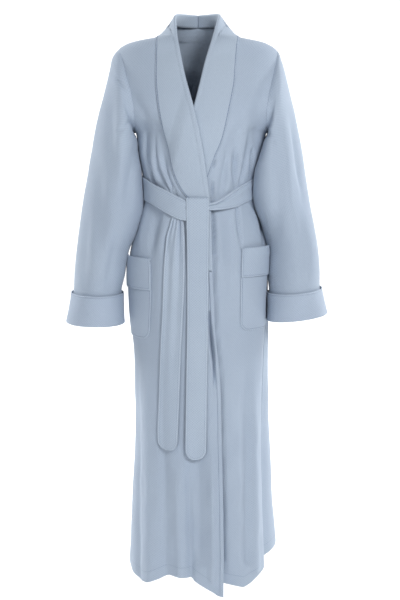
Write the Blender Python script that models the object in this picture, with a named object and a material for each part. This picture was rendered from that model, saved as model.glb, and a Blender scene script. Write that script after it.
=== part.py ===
"""A wrap robe in its worn form: fronts and back on rings, shawl collar, cuffed sleeves, pockets, a tied belt.

Metres, +Z up, the front faces -Y. Height 0 is at the shoulders and the origin lies on the centre line there.
Turn is an angle round the body in degrees: 0 in front, 90 at +X (the wearer's left), 180 at the back.
"""

import bpy
import numpy as np

for item in list(bpy.data.objects):
    bpy.data.objects.remove(item, do_unlink=True)

MM = 0.001
WALL = 2.0 * MM
SEAM = 0.4 * MM
RIGHT = -1
LEFT = 1


def table(names, rows):
    return dict(zip(names.split(), np.array(rows, float).T))


# The worn form, as half widths and depths of a ring at each height
FORM = table(
    "height right left front back",
    [
        (0.062, 0.0480, 0.0470, 0.034, 0.060),
        (0.056, 0.0500, 0.0490, 0.037, 0.062),
        (0.045, 0.0545, 0.0540, 0.043, 0.066),
        (0.030, 0.0620, 0.0610, 0.050, 0.070),
        (0.015, 0.0730, 0.0730, 0.057, 0.075),
        (0.006, 0.0820, 0.0820, 0.062, 0.079),
        (0.000, 0.0935, 0.0930, 0.065, 0.082),
        (-0.004, 0.1200, 0.1180, 0.068, 0.084),
        (-0.011, 0.1530, 0.1505, 0.072, 0.086),
        (-0.017, 0.1680, 0.1645, 0.074, 0.088),
        (-0.024, 0.1790, 0.1755, 0.076, 0.090),
        (-0.032, 0.1862, 0.1840, 0.078, 0.092),
        (-0.042, 0.1915, 0.1915, 0.081, 0.094),
        (-0.055, 0.1955, 0.1970, 0.087, 0.096),
        (-0.070, 0.2000, 0.2010, 0.094, 0.099),
        (-0.090, 0.2040, 0.2070, 0.102, 0.103),
        (-0.115, 0.2070, 0.2120, 0.110, 0.108),
        (-0.140, 0.2050, 0.2130, 0.117, 0.112),
        (-0.165, 0.1930, 0.2040, 0.122, 0.113),
        (-0.185, 0.1760, 0.1890, 0.124, 0.112),
        (-0.205, 0.1520, 0.1690, 0.125, 0.110),
        (-0.2145, 0.1435, 0.1590, 0.125, 0.109),
        (-0.235, 0.1405, 0.1535, 0.123, 0.106),
        (-0.254, 0.1385, 0.1480, 0.120, 0.103),
        (-0.285, 0.1340, 0.1380, 0.114, 0.098),
        (-0.312, 0.1290, 0.1295, 0.109, 0.094),
        (-0.340, 0.1250, 0.1250, 0.106, 0.091),
        (-0.366, 0.1255, 0.1275, 0.105, 0.091),
        (-0.395, 0.1325, 0.1375, 0.107, 0.096),
        (-0.429, 0.1420, 0.1485, 0.111, 0.105),
        (-0.465, 0.1525, 0.1580, 0.116, 0.114),
        (-0.500, 0.1595, 0.1625, 0.120, 0.122),
        (-0.560, 0.1620, 0.1640, 0.124, 0.130),
        (-0.608, 0.1610, 0.1640, 0.125, 0.133),
        (-0.670, 0.1570, 0.1640, 0.126, 0.134),
        (-0.741, 0.1525, 0.1630, 0.127, 0.135),
        (-0.867, 0.1510, 0.1620, 0.129, 0.137),
        (-1.000, 0.1560, 0.1650, 0.133, 0.142),
        (-1.090, 0.1610, 0.1680, 0.136, 0.146),
        (-1.180, 0.1655, 0.1730, 0.139, 0.150),
        (-1.250, 0.1690, 0.1780, 0.141, 0.153),
        (-1.300, 0.1705, 0.1810, 0.142, 0.155),
    ],
)

# Where each row of a front's grid meets its folded edge, the collar's outer edge and the side
ROWS = table(
    "edge collar side",
    [
        (0.056, 0.0000, -0.0290),
        (0.047, -0.0010, -0.0330),
        (0.034, -0.0040, -0.0410),
        (0.018, -0.0085, -0.0530),
        (0.000, -0.0160, -0.0680),
        (-0.020, -0.0280, -0.0860),
        (-0.042, -0.0450, -0.1060),
        (-0.066, -0.0660, -0.1270),
        (-0.090, -0.0900, -0.1480),
        (-0.115, -0.1160, -0.1680),
        (-0.140, -0.1420, -0.1860),
        (-0.165, -0.1680, -0.2020),
        (-0.190, -0.1920, -0.2145),
        (-0.213, -0.2140, -0.2300),
        (-0.236, -0.2370, -0.2470),
        (-0.260, -0.2600, -0.2650),
        (-0.285, -0.2850, -0.2850),
        (-0.307, -0.3070, -0.3070),
        (-0.328, -0.3280, -0.3280),
        (-0.348, -0.3480, -0.3480),
        (-0.368, -0.3680, -0.3680),
        (-0.389, -0.3890, -0.3890),
        (-0.411, -0.4110, -0.4110),
        (-0.440, -0.4400, -0.4400),
        (-0.4760, -0.4760, -0.4760),
        (-0.496, -0.4960, -0.4960),
        (-0.499, -0.4990, -0.4990),
        (-0.520, -0.5200, -0.5200),
        (-0.5410, -0.5410, -0.5410),
        (-0.580, -0.5800, -0.5800),
        (-0.618, -0.6180, -0.6180),
        (-0.650, -0.6500, -0.6500),
        (-0.6655, -0.6655, -0.6655),
        (-0.710, -0.7100, -0.7100),
        (-0.780, -0.7800, -0.7800),
        (-0.860, -0.8600, -0.8600),
        (-0.940, -0.9400, -0.9400),
        (-1.030, -1.0300, -1.0300),
        (-1.120, -1.1200, -1.1200),
        (-1.180, -1.1800, -1.1800),
        (-1.225, -1.2250, -1.2250),
        (-1.260, -1.2600, -1.2600),
    ],
)
COLLAR_BACK_ROW = 4
ARMPIT_ROW = 12
COLLAR_END_ROW = 25
POCKET_TOP_ROW = 24
BAND_END_ROW = 28
POCKET_END_ROW = 32

# How much lower the right pocket hangs than the left one
LOWER = table(
    "height shift",
    [
        (-0.400, 0),
        (-0.4760, -0.0235),
        (-0.5410, -0.0300),
        (-0.6655, -0.0210),
        (-0.780, 0),
        (-1.300, 0),
    ],
)

# Columns of a front's grid between its lines
UNDER_COLLAR = 4
TO_POCKET = 3
ON_POCKET = 5
TO_SIDE = 1

# Across X where the two folded front edges run, and the outer edges of the collar
EDGES = table(
    "height right left",
    [
        (0.056, -0.0500, 0.0490),
        (0.035, -0.0495, 0.0430),
        (0.010, -0.0465, 0.0360),
        (-0.015, -0.0420, 0.0285),
        (-0.049, -0.0370, 0.0190),
        (-0.077, -0.0325, 0.0110),
        (-0.111, -0.0235, 0.0045),
        (-0.140, -0.0140, -0.0030),
        (-0.157, -0.0085, -0.0085),
        (-0.188, -0.0020, -0.0175),
        (-0.253, 0.0110, -0.0330),
        (-0.329, 0.0200, -0.0530),
        (-0.362, 0.0250, -0.0600),
        (-0.451, 0.0280, -0.0720),
        (-0.518, 0.0300, -0.0750),
        (-0.585, 0.0340, -0.0760),
        (-0.676, 0.0380, -0.0760),
        (-0.745, 0.0460, -0.0760),
        (-0.815, 0.0500, -0.0760),
        (-1.051, 0.0530, -0.0760),
        (-1.283, 0.0520, -0.0760),
    ],
)
COLLAR = table(
    "height right left",
    [
        (0.000, -0.0920, 0.0920),
        (-0.016, -0.0930, 0.0890),
        (-0.058, -0.0940, 0.0850),
        (-0.101, -0.0935, 0.0820),
        (-0.122, -0.0920, 0.0785),
        (-0.166, -0.0860, 0.0690),
        (-0.231, -0.0720, 0.0530),
        (-0.271, -0.0610, 0.0365),
        (-0.308, -0.0500, 0.0240),
        (-0.345, -0.0330, 0.0100),
        (-0.368, -0.0140, 0.0010),
        (-0.400, 0.0030, -0.0130),
        (-0.450, 0.0120, -0.0400),
        (-0.496, 0.0150, -0.0600),
        (-0.520, 0.0160, -0.0605),
        (-1.283, 0.0370, -0.0615),
    ],
)

# Across X where the sleeve is set in, in front and behind
ARMHOLE = table(
    "height right right_back left left_back",
    [
        (-0.0290, 0.1825, 0.1825, 0.1805, 0.1805),
        (-0.0410, 0.1750, 0.1760, 0.1810, 0.1815),
        (-0.0530, 0.1700, 0.1730, 0.1785, 0.1795),
        (-0.0900, 0.1600, 0.1670, 0.1700, 0.1730),
        (-0.1400, 0.1490, 0.1610, 0.1600, 0.1670),
        (-0.1800, 0.1455, 0.1540, 0.1570, 0.1625),
        (-0.2020, 0.1438, 0.1470, 0.1580, 0.1600),
        (-0.2145, 0.1435, 0.1435, 0.1590, 0.1590),
    ],
)

# Turn of the side seams below the armpit
SIDE = table(
    "height right left",
    [
        (-0.2145, 90, 90),
        (-0.300, 90, 90),
        (-0.400, 92, 88),
        (-0.470, 95, 84),
        (-0.700, 96, 81),
        (-1.283, 97, 80),
    ],
)

# Pocket's inner edge across X, from the centre outwards
POCKET = table(
    "height right left",
    [(-0.440, 0.109, 0.0985), (-0.4715, 0.108, 0.0980), (-0.5455, 0.104, 0.0965), (-0.6655, 0.109, 0.0955)],
)
POCKET_SIDE_TURN = 4.0

# Hem heights round the body
HEM_RIGHT = table(
    "turn height",
    [
        (-100, -1.262),
        (-70, -1.264),
        (-55, -1.269),
        (-44, -1.268),
        (-33, -1.252),
        (-22, -1.244),
        (-10, -1.246),
        (0, -1.252),
        (8, -1.266),
        (14, -1.284),
        (20, -1.286),
    ],
)
HEM_LEFT = table(
    "turn height",
    [
        (-40, -1.235),
        (10, -1.245),
        (18, -1.262),
        (25, -1.276),
        (35, -1.276),
        (48, -1.265),
        (60, -1.255),
        (80, -1.240),
    ],
)
HEM_BACK = table(
    "turn height",
    [
        (80, -1.240),
        (100, -1.229),
        (125, -1.229),
        (150, -1.245),
        (180, -1.252),
        (230, -1.252),
        (263, -1.262),
    ],
)

# Soft folds: which cloth they shape, where they run, their width and their depth in millimetres
# Cloths: 0 all, 1 right front, 2 left front, 3 back, 4 left front and back
FOLDS = table(
    "cloth turn_top top turn_bottom bottom width depth_top depth_bottom",
    [
        (1, -45, -0.85, -45, -1.30, 13, 0, 9),
        (0, -22, -0.60, -21, -1.30, 11, 0, -12),
        (0, -4, -0.55, -5, -1.30, 9, 0, -14),
        (1, 16, -0.95, 19, -1.30, 7, 0, 15),
        (1, -80, -0.60, -82, -1.30, 12, 0, -4),
        (2, 22, -0.85, 22, -1.30, 8, 0, -9),
        (2, 38, -0.60, 38, -1.30, 14, 0, 5),
        (4, 81, -0.42, 79, -1.30, 10, 0, -20),
        (3, 110, -0.48, 117, -1.30, 19, 1, 37),
        (3, 140, -0.50, 142, -1.30, 10, 0, -14),
        (3, 155, -0.50, 156, -1.30, 12, 0, 9),
        (3, 181, -0.55, 181, -1.30, 11, 0, -9),
        (3, 206, -0.50, 206, -1.30, 12, 0, 9),
        (3, 233, -0.50, 232, -1.30, 11, 0, -12),
        (1, -46, -0.06, -58, -0.29, 8, 0, -5),
        (2, 46, -0.06, 58, -0.28, 8, 0, -5),
        (3, 140, -0.08, 146, -0.29, 10, 0, -4),
        (3, 220, -0.08, 214, -0.29, 10, 0, -4),
    ],
)


def read(rows, name, at, key="height"):
    """A smooth curve, with no overshoot, through one column of a table against another."""
    order = np.argsort(rows[key])
    x = rows[key][order]
    y = rows[name][order]
    step = np.diff(x)
    slope = np.diff(y) / step
    grade = np.zeros_like(y)
    grade[0] = slope[0]
    grade[-1] = slope[-1]
    same = slope[:-1] * slope[1:] > 0
    before = (2 * step[1:] + step[:-1])[same]
    after = (step[1:] + 2 * step[:-1])[same]
    grade[1:-1][same] = (before + after) / (before / slope[:-1][same] + after / slope[1:][same])
    at = np.clip(np.asarray(at, float), x[0], x[-1])
    i = np.clip(np.searchsorted(x, at) - 1, 0, len(step) - 1)
    s = (at - x[i]) / step[i]
    return (
        y[i] * (1 + 2 * s) * (1 - s) ** 2
        + y[i + 1] * s * s * (3 - 2 * s)
        + step[i] * s * (1 - s) * (grade[i] * (1 - s) - grade[i + 1] * s)
    )


def ease(value):
    value = np.clip(value, 0, 1)
    return value * value * (3 - 2 * value)


def ring(turn, height):
    """The plain form, with no folds."""
    angle = np.radians(turn)
    wide = np.where(np.sin(angle) < 0, read(FORM, "right", height), read(FORM, "left", height))
    deep = np.where(np.cos(angle) > 0, read(FORM, "front", height), read(FORM, "back", height))
    return np.stack([wide * np.sin(angle), -deep * np.cos(angle), height + 0 * angle], axis=-1)


def turn_at(x, height):
    """The turn, in front, at which the plain form has this X."""
    wide = np.where(np.asarray(x) < 0, read(FORM, "right", height), read(FORM, "left", height))
    return np.degrees(np.arcsin(np.clip(x / wide, -1, 1)))


ALL, RIGHT_FRONT, LEFT_FRONT, BACK, LEFT_AND_BACK = range(5)


def folded(cloth, turn, height):
    """How far the folds move a cloth out."""
    out = np.zeros(np.broadcast(turn, height).shape)
    for i, kind in enumerate(FOLDS["cloth"]):
        mine = kind in (ALL, cloth) or kind == LEFT_AND_BACK and cloth in (LEFT_FRONT, BACK)
        if not mine:
            continue
        top = FOLDS["top"][i]
        along = np.clip((top - height) / (top - FOLDS["bottom"][i]), 0, 1)
        centre = FOLDS["turn_top"][i] + (FOLDS["turn_bottom"][i] - FOLDS["turn_top"][i]) * along
        away = (turn - centre + 180) % 360 - 180
        deep = FOLDS["depth_top"][i] + (FOLDS["depth_bottom"][i] - FOLDS["depth_top"][i]) * along
        past = ease((FOLDS["bottom"][i] + 0.04 - height) / 0.04) if FOLDS["bottom"][i] > -1 else 0.0
        out = out + MM * deep * np.exp(-((away / FOLDS["width"][i]) ** 2)) * (1 - past)
    return out


def lift(x, height):
    """How far the right front stands off where it lies on the left one."""
    under = read(EDGES, "left", height)
    on = ease((x - under + 0.036) / 0.032)
    full = 6.6 * MM * ease((-0.075 - height) / 0.065)
    spare = 1.0 * MM * ease((-0.50 - height) / 0.12)
    return on * (full - spare)


def bare(cloth, turn, height):
    point = ring(turn, height)
    flat = point * np.array([1.0, 1.0, 0.0])
    out = folded(cloth, turn, height)
    if cloth == RIGHT_FRONT:
        out = out + lift(point[..., 0], height)
    return point + flat / np.linalg.norm(flat, axis=-1, keepdims=True) * out[..., None]


def surface(cloth, turn, height, out=0.0):
    """Points of a cloth's form, moved out along its normals, and those normals."""
    turn, height = np.broadcast_arrays(np.asarray(turn, float), np.asarray(height, float))
    make = (lambda a, h: ring(a, h)) if cloth is None else (lambda a, h: bare(cloth, a, h))
    round_it = make(turn + 0.3, height) - make(turn - 0.3, height)
    up = make(turn, height + 0.0004) - make(turn, height - 0.0004)
    normal = np.cross(round_it, up)
    normal /= np.linalg.norm(normal, axis=-1, keepdims=True)
    return make(turn, height) + normal * np.asarray(out)[..., None], normal


def blend(knots, counts):
    """Values along a row, in even steps between its knots."""
    parts = []
    for k, n in enumerate(counts):
        step = (knots[k + 1] - knots[k])[..., None] / n
        parts.append(knots[k][..., None] + step * np.arange(n))
    return np.concatenate(parts + [knots[-1][..., None]], axis=-1)


def grid_faces(rows, columns, start=0, closed=False):
    faces = []
    for r in range(rows - 1):
        for c in range(columns if closed else columns - 1):
            n = (c + 1) % columns
            upper, lower = start + r * columns, start + (r + 1) * columns
            faces.append((upper + c, upper + n, lower + n, lower + c))
    return faces


def shell(name, points, normals, faces, colour, low=WALL / 2, high=WALL / 2):
    """A closed wall on a patch of four-sided faces, made into one named object."""
    points = np.asarray(points, float).reshape(-1, 3)
    normals = np.asarray(normals, float).reshape(-1, 3)
    a, b, c = (points[[f[k] for f in faces]] for k in range(3))
    facing = (np.cross(b - a, c - a) * normals[[f[0] for f in faces]]).sum()
    if facing < 0:
        faces = [f[::-1] for f in faces]
    used = sorted({i for f in faces for i in f})
    place = {old: new for new, old in enumerate(used)}
    faces = [tuple(place[i] for i in f) for f in faces]
    points = points[used]
    normals = normals[used]
    count = len(points)
    corners = np.concatenate([points + normals * high, points - normals * low])
    sides = {}
    solid = []
    for f in faces:
        p, q, r, s = f
        solid += [(p, q, r), (p, r, s)]
        solid += [(count + r, count + q, count + p), (count + s, count + r, count + p)]
        for k in range(4):
            sides[f[k], f[(k + 1) % 4]] = True
    for p, q in sides:
        if (q, p) not in sides:
            solid += [(q, p, count + p), (q, count + p, count + q)]
    mesh = bpy.data.meshes.new(name)
    mesh.from_pydata(corners.tolist(), [], solid)
    mesh.update()
    made = bpy.data.objects.new(name, mesh)
    bpy.context.scene.collection.objects.link(made)
    material = bpy.data.materials.new(name)
    material.use_nodes = True
    shader = material.node_tree.nodes["Principled BSDF"]
    shader.inputs["Base Color"].default_value = (*colour, 1.0)
    shader.inputs["Roughness"].default_value = 0.85
    mesh.materials.append(material)
    return made


def pulled(points, gap, sides):
    """Moves a grid's borders in, along their own surface, to leave a gap at a seam."""
    moved = points.copy()
    for side, at in sides:
        edge = {"top": 0, "bottom": -1, "first": (slice(None), 0), "last": (slice(None), -1)}[side]
        inner = {"top": 1, "bottom": -2, "first": (slice(None), 1), "last": (slice(None), -2)}[side]
        way = points[inner] - points[edge]
        way = way / np.linalg.norm(way, axis=-1, keepdims=True)
        moved[edge][at] += (way * gap)[at]
    return moved


BLUE = (0.42, 0.53, 0.63)
DEEPER = (0.36, 0.47, 0.59)
PALE = (0.46, 0.57, 0.66)
STAND = 10 * MM


# Fronts
def front_lines(side):
    """Turn and height of every point of a front's grid, with the folded edge as an extra first column."""
    key = "right" if side == RIGHT else "left"
    edge, collar, out = (ROWS[line].copy() for line in ("edge", "collar", "side"))
    if side == RIGHT:
        for line in (edge, collar, out):
            line += read(LOWER, "shift", line)
    fold_turn = turn_at(read(EDGES, key, edge), edge)
    fold_turn[0] = side * 90
    wide = read(FORM, key, edge)
    back_off = np.degrees(STAND / np.where(edge < -0.05, np.maximum(wide, 0.1), wide))
    shown = np.arange(len(edge)) > COLLAR_END_ROW
    neck_turn = fold_turn + side * np.where(shown, 0.0, back_off)
    neck_turn[0] = side * 90
    drop = 28 * MM * ease((edge + 0.01) / 0.066)
    neck_height = edge - drop
    neck_x = np.abs(read(EDGES, key, edge)) + 0.55 * drop + 7 * MM - 0.25 * drop
    neck_turn = np.where(drop > 0, side * np.abs(turn_at(neck_x, neck_height)), neck_turn)
    neck_turn[0] = side * 90
    collar_turn = turn_at(read(COLLAR, key, collar), collar)
    collar_turn[0] = side * 90
    turn = np.empty(len(out))
    for i, height in enumerate(out):
        if i <= ARMPIT_ROW:
            turn[i] = turn_at(side * read(ARMHOLE, key, height), height) * side
        else:
            turn[i] = read(SIDE, key, height)
    turn[0] = turn[ARMPIT_ROW] = 90
    side_turn = side * turn
    pocket_turn = turn_at(side * read(POCKET, key, out), out)
    share = np.zeros(len(out))
    low = slice(POCKET_TOP_ROW, None)
    share[low] = ((pocket_turn - collar_turn)[low]) / (side_turn - collar_turn)[low]
    share[:POCKET_TOP_ROW] = share[POCKET_TOP_ROW]
    share[POCKET_END_ROW:] = share[POCKET_END_ROW]
    last = np.full(len(out), 0.92)
    low = slice(ARMPIT_ROW + 1, None)
    last[low] = 1 - POCKET_SIDE_TURN / np.abs(side_turn - collar_turn)[low]
    lines = []
    for start, end in ((collar_turn, side_turn), (collar, out)):
        lines.append((start + (end - start) * share, start + (end - start) * last))
    counts = (UNDER_COLLAR, TO_POCKET, ON_POCKET, TO_SIDE)
    turns = blend((neck_turn, collar_turn, lines[0][0], lines[0][1], side_turn), counts)
    heights = blend((neck_height, collar, lines[1][0], lines[1][1], out), counts)
    turns = np.concatenate([fold_turn[:, None], turns], axis=1)
    heights = np.concatenate([edge[:, None], heights], axis=1)
    hem = HEM_RIGHT if side == RIGHT else HEM_LEFT
    share = ease((-0.95 - heights) / 0.31)
    return turns, heights + share * (read(hem, "height", turns, "turn") + 1.26)


FRONTS = {}
for side, cloth, name in ((RIGHT, RIGHT_FRONT, "front_right"), (LEFT, LEFT_FRONT, "front_left")):
    turns, heights = front_lines(side)
    points, normals = surface(cloth, turns, heights)
    FRONTS[side] = (turns, heights, points, normals)
    rows = np.arange(len(turns))
    columns = np.arange(turns.shape[1] - 1)
    panel = pulled(
        points[:, 1:],
        SEAM / 2,
        [("top", columns >= 0), ("first", rows <= COLLAR_END_ROW), ("last", rows >= 0)],
    )
    shell(name, panel, normals[:, 1:], grid_faces(*panel.shape[:2]), BLUE)


# Back
SIDE_COLUMNS, NECK_COLUMNS = 3, 3


def back_half(side):
    """Turn and height of half the back's grid, from its side to the centre."""
    key = "right" if side == RIGHT else "left"
    out = ROWS["side"]
    row = np.arange(len(out))
    high = out[: ARMPIT_ROW + 1]
    arm = 180 - side * turn_at(side * read(ARMHOLE, key + "_back", high), high)
    below = read(SIDE, key, out[ARMPIT_ROW + 1 :])
    side_turn = np.concatenate([arm, below])
    side_turn[0] = side_turn[ARMPIT_ROW] = 90
    lines = table(
        "row collar_turn collar neck_turn neck centre",
        [
            (0, 90, 0.000, 90, 0.028, 0.028),
            (1, 101, -0.0025, 106, 0.014, 0.015),
            (2, 113, -0.0060, 122, 0.003, 0.003),
            (3, 124, -0.0095, 140, -0.009, -0.009),
            (4, 134, -0.0130, 157, -0.019, -0.021),
            (8, 139, -0.11375, 159, -0.11675, -0.11775),
            (12, 133, -0.2145, 156, -0.2145, -0.2145),
            (16, 119, -0.2850, 150, -0.2850, -0.2850),
        ],
    )
    low = row > ARMPIT_ROW
    share = np.clip(row / ARMPIT_ROW, 0, 1)
    collar_turn = np.interp(row, lines["row"], lines["collar_turn"])
    neck_turn = np.interp(row, lines["row"], lines["neck_turn"])
    collar = np.where(low, out, np.interp(row, lines["row"], lines["collar"]))
    neck = np.where(low, out, np.interp(row, lines["row"], lines["neck"]))
    centre = np.where(low, out, np.interp(row, lines["row"], lines["centre"]))
    counts = (SIDE_COLUMNS, UNDER_COLLAR, NECK_COLUMNS)
    turns = blend((side_turn, collar_turn, neck_turn, np.full(len(out), 180.0)), counts)
    heights = blend((out, collar, neck, centre), counts)
    round_it = turns if side == LEFT else 360 - turns
    drop = ease((-0.95 - heights) / 0.31)
    return round_it, heights + drop * (read(HEM_BACK, "height", round_it, "turn") + 1.26)


halves = {side: back_half(side) for side in (RIGHT, LEFT)}
back_turns = np.concatenate([halves[LEFT][0], halves[RIGHT][0][:, -2::-1]], axis=1)
back_heights = np.concatenate([halves[LEFT][1], halves[RIGHT][1][:, -2::-1]], axis=1)
back_points, back_normals = surface(BACK, back_turns, back_heights)
every = np.ones(len(ROWS["side"]), bool)
panel = pulled(
    back_points,
    SEAM / 2,
    [("top", np.ones(back_turns.shape[1], bool)), ("first", every), ("last", every)],
)
shell("back", panel, back_normals, grid_faces(*panel.shape[:2]), BLUE)


# Collar halves, folded over the front edges and the back of the neck
LEAF = 3.0 * MM
LEAF_WALL = 2.2 * MM


def collar_half(side):
    """Points, normals and faces of one half, from its outer edge over the fold to the stand's end."""
    turns, heights, points, normals = FRONTS[side]
    middle = back_turns.shape[1] // 2
    if side == LEFT:
        across = list(range(SIDE_COLUMNS, middle + 1))
    else:
        across = list(range(back_turns.shape[1] - 1 - SIDE_COLUMNS, middle - 1, -1))
    patch = {}
    place = []
    facing = []

    def put(key, point, normal):
        patch[key] = len(place)
        place.append(point)
        facing.append(normal)

    faces = []
    back_rows = range(1, COLLAR_BACK_ROW + 1)
    for r in back_rows:
        for c, column in enumerate(across):
            out = back_normals[r, column]
            put(("back", r, c), back_points[r, column] + out * LEAF, out)
    for c, column in enumerate(across):
        if c > UNDER_COLLAR:
            out = back_normals[0, column]
            put(("back", 0, c), back_points[0, column] + out * LEAF, out)
    for r in range(COLLAR_END_ROW + 1):
        for c in range(UNDER_COLLAR + 1):
            at = r, 1 + c
            put(("front", r, c), points[at] + normals[at] * LEAF, normals[at])
    for c in range(UNDER_COLLAR + 1):
        patch["back", 0, UNDER_COLLAR - c] = patch["front", 0, c]
    for part, last_row, last_column in (
        ("back", COLLAR_BACK_ROW, len(across) - 1),
        ("front", COLLAR_END_ROW, UNDER_COLLAR),
    ):
        for r in range(last_row):
            for c in range(last_column):
                corners = (r, c), (r, c + 1), (r + 1, c + 1), (r + 1, c)
                faces.append([patch[(part, *corner)] for corner in corners])

    stations = [("back", 0, c) for c in range(len(across) - 1, UNDER_COLLAR, -1)]
    stations += [("front", r, 0) for r in range(COLLAR_END_ROW + 1)]
    fold = []
    for kind, r, c in stations:
        if kind == "back":
            column = across[c]
            turn = back_turns[0, column]
            crest, out = surface(BACK, turn, 0.056)
            foot = back_points[0, column]
        else:
            crest, out = points[r, 0], normals[r, 0]
            foot = points[r, 1]
        fold.append((crest, out, foot))
    crest = np.array([f[0] for f in fold])
    out = np.array([f[1] for f in fold])
    foot = np.array([f[2] for f in fold])
    inward = foot - crest
    inward /= np.linalg.norm(inward, axis=1, keepdims=True)
    profile = [
        (crest + inward * 1.6 * MM + out * LEAF, out * 0.8 - inward * 0.6),
        (crest + out * LEAF / 2, -inward),
        (crest + inward * 1.6 * MM, -out * 0.8 - inward * 0.6),
        (foot - inward * 0.3 * MM, -out),
    ]
    rings = [[patch[s] for s in stations]]
    for where, way in profile:
        way = way / np.linalg.norm(way, axis=1, keepdims=True)
        line = []
        for i in range(len(stations)):
            line.append(len(place))
            place.append(where[i])
            facing.append(way[i])
        rings.append(line)
    for first, second in zip(rings, rings[1:]):
        for i in range(len(stations) - 1):
            faces.append([first[i], second[i], second[i + 1], first[i + 1]])
    return np.array(place), np.array(facing), faces, patch, rings, len(across)


def turned(points, normals, faces):
    """Faces wound so that they look along their normals."""
    made = []
    for f in faces:
        a, b, c = points[f[0]], points[f[1]], points[f[2]]
        d = points[f[3]]
        look = np.cross(c - a, d - b)
        made.append(f if look @ normals[list(f)].sum(axis=0) > 0 else f[::-1])
    return made


for side, name in ((RIGHT, "collar_right"), (LEFT, "collar_left")):
    place, facing, faces, patch, rings, count = collar_half(side)
    centre = [patch["back", r, count - 1] for r in range(COLLAR_BACK_ROW + 1)]
    centre += [line[0] for line in rings[1:]]
    place[centre, 0] = side * SEAM / 2
    facing[centre, 0] = 0
    ends = [patch["front", COLLAR_END_ROW, c] for c in range(UNDER_COLLAR + 1)]
    ends += [line[-1] for line in rings[1:]]
    place[ends, 2] += 0.6 * MM
    faces = turned(place, facing, faces)
    shell(name, place, facing, faces, PALE, LEAF_WALL / 2, LEAF_WALL / 2)


# Sleeves, ring by ring from the armhole to the folded hem of the cuff
SLEEVES = {
    RIGHT: table(
        "outer outer_height inner inner_height depth middle lean",
        [
            (0.1828, -0.0290, 0.1450, -0.2138, 0.076, -0.006, 0.000),
            (0.1880, -0.0350, 0.1486, -0.2143, 0.077, -0.006, 0.000),
            (0.1948, -0.0485, 0.1512, -0.2170, 0.078, -0.006, 0.001),
            (0.1995, -0.0680, 0.1502, -0.2245, 0.079, -0.006, 0.004),
            (0.2070, -0.0940, 0.1436, -0.2365, 0.080, -0.006, 0.008),
            (0.2180, -0.1340, 0.1413, -0.2530, 0.081, -0.007, 0.012),
            (0.2310, -0.1880, 0.1379, -0.2770, 0.081, -0.008, 0.015),
            (0.2440, -0.2500, 0.1344, -0.3080, 0.080, -0.009, 0.016),
            (0.2550, -0.3050, 0.1325, -0.3450, 0.079, -0.010, 0.016),
            (0.2650, -0.3600, 0.1322, -0.3850, 0.078, -0.011, 0.014),
            (0.2750, -0.4250, 0.1460, -0.4350, 0.077, -0.012, 0.012),
            (0.2840, -0.4900, 0.1715, -0.4900, 0.0755, -0.013, 0.008),
            (0.2900, -0.5400, 0.1790, -0.5350, 0.0745, -0.014, 0.006),
            (0.2940, -0.5860, 0.1820, -0.5860, 0.0735, -0.015, 0.005),
            (0.3010, -0.6200, 0.1805, -0.6220, 0.0730, -0.015, 0.004),
            (0.3065, -0.6450, 0.1795, -0.6470, 0.0725, -0.015, 0.004),
            (0.3080, -0.6550, 0.1790, -0.6570, 0.0725, -0.015, 0.004),
        ],
    ),
    LEFT: table(
        "outer outer_height inner inner_height depth middle lean",
        [
            (0.1808, -0.0290, 0.1605, -0.2138, 0.076, -0.006, 0.000),
            (0.1850, -0.0340, 0.1632, -0.2150, 0.077, -0.006, 0.000),
            (0.1900, -0.0460, 0.1642, -0.2185, 0.078, -0.006, 0.001),
            (0.1965, -0.0640, 0.1620, -0.2260, 0.079, -0.006, 0.003),
            (0.2035, -0.0900, 0.1558, -0.2370, 0.080, -0.006, 0.006),
            (0.2120, -0.1280, 0.1511, -0.2530, 0.081, -0.007, 0.010),
            (0.2240, -0.1800, 0.1436, -0.2770, 0.081, -0.008, 0.014),
            (0.2365, -0.2420, 0.1347, -0.3080, 0.080, -0.009, 0.016),
            (0.2470, -0.3000, 0.1325, -0.3450, 0.079, -0.010, 0.016),
            (0.2570, -0.3580, 0.1368, -0.3850, 0.078, -0.010, 0.010),
            (0.2685, -0.4250, 0.1536, -0.4350, 0.077, -0.008, -0.006),
            (0.2785, -0.4880, 0.1664, -0.4900, 0.0755, -0.006, -0.012),
            (0.2840, -0.5300, 0.1665, -0.5350, 0.0735, -0.011, -0.010),
            (0.2865, -0.5740, 0.1702, -0.5860, 0.0700, -0.014, -0.003),
            (0.2935, -0.6020, 0.1690, -0.6170, 0.0680, -0.015, 0.000),
            (0.2995, -0.6260, 0.1682, -0.6410, 0.0665, -0.015, 0.003),
            (0.3012, -0.6345, 0.1677, -0.6510, 0.0660, -0.015, 0.004),
        ],
    ),
}


def armhole(side):
    """The armhole's loop: shoulder, down the front, armpit, up the back; and how far round each point is."""
    turns, heights, points, normals = FRONTS[side]
    column = 0 if side == LEFT else back_points.shape[1] - 1
    front = points[: ARMPIT_ROW + 1, -1]
    back = back_points[1:ARMPIT_ROW, column][::-1]
    loop = np.concatenate([front, back])
    wall = np.concatenate([normals[: ARMPIT_ROW + 1, -1], back_normals[1:ARMPIT_ROW, column][::-1]])
    down = np.concatenate([[0], np.cumsum(np.linalg.norm(np.diff(front, axis=0), axis=1))])
    behind = np.concatenate([front[-1:], back, front[:1]])
    up = np.concatenate([[0], np.cumsum(np.linalg.norm(np.diff(behind, axis=0), axis=1))])
    angle = np.concatenate([180 * down / down[-1], 180 + 180 * up[1:-1] / up[-1]])
    return loop, wall, angle


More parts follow.
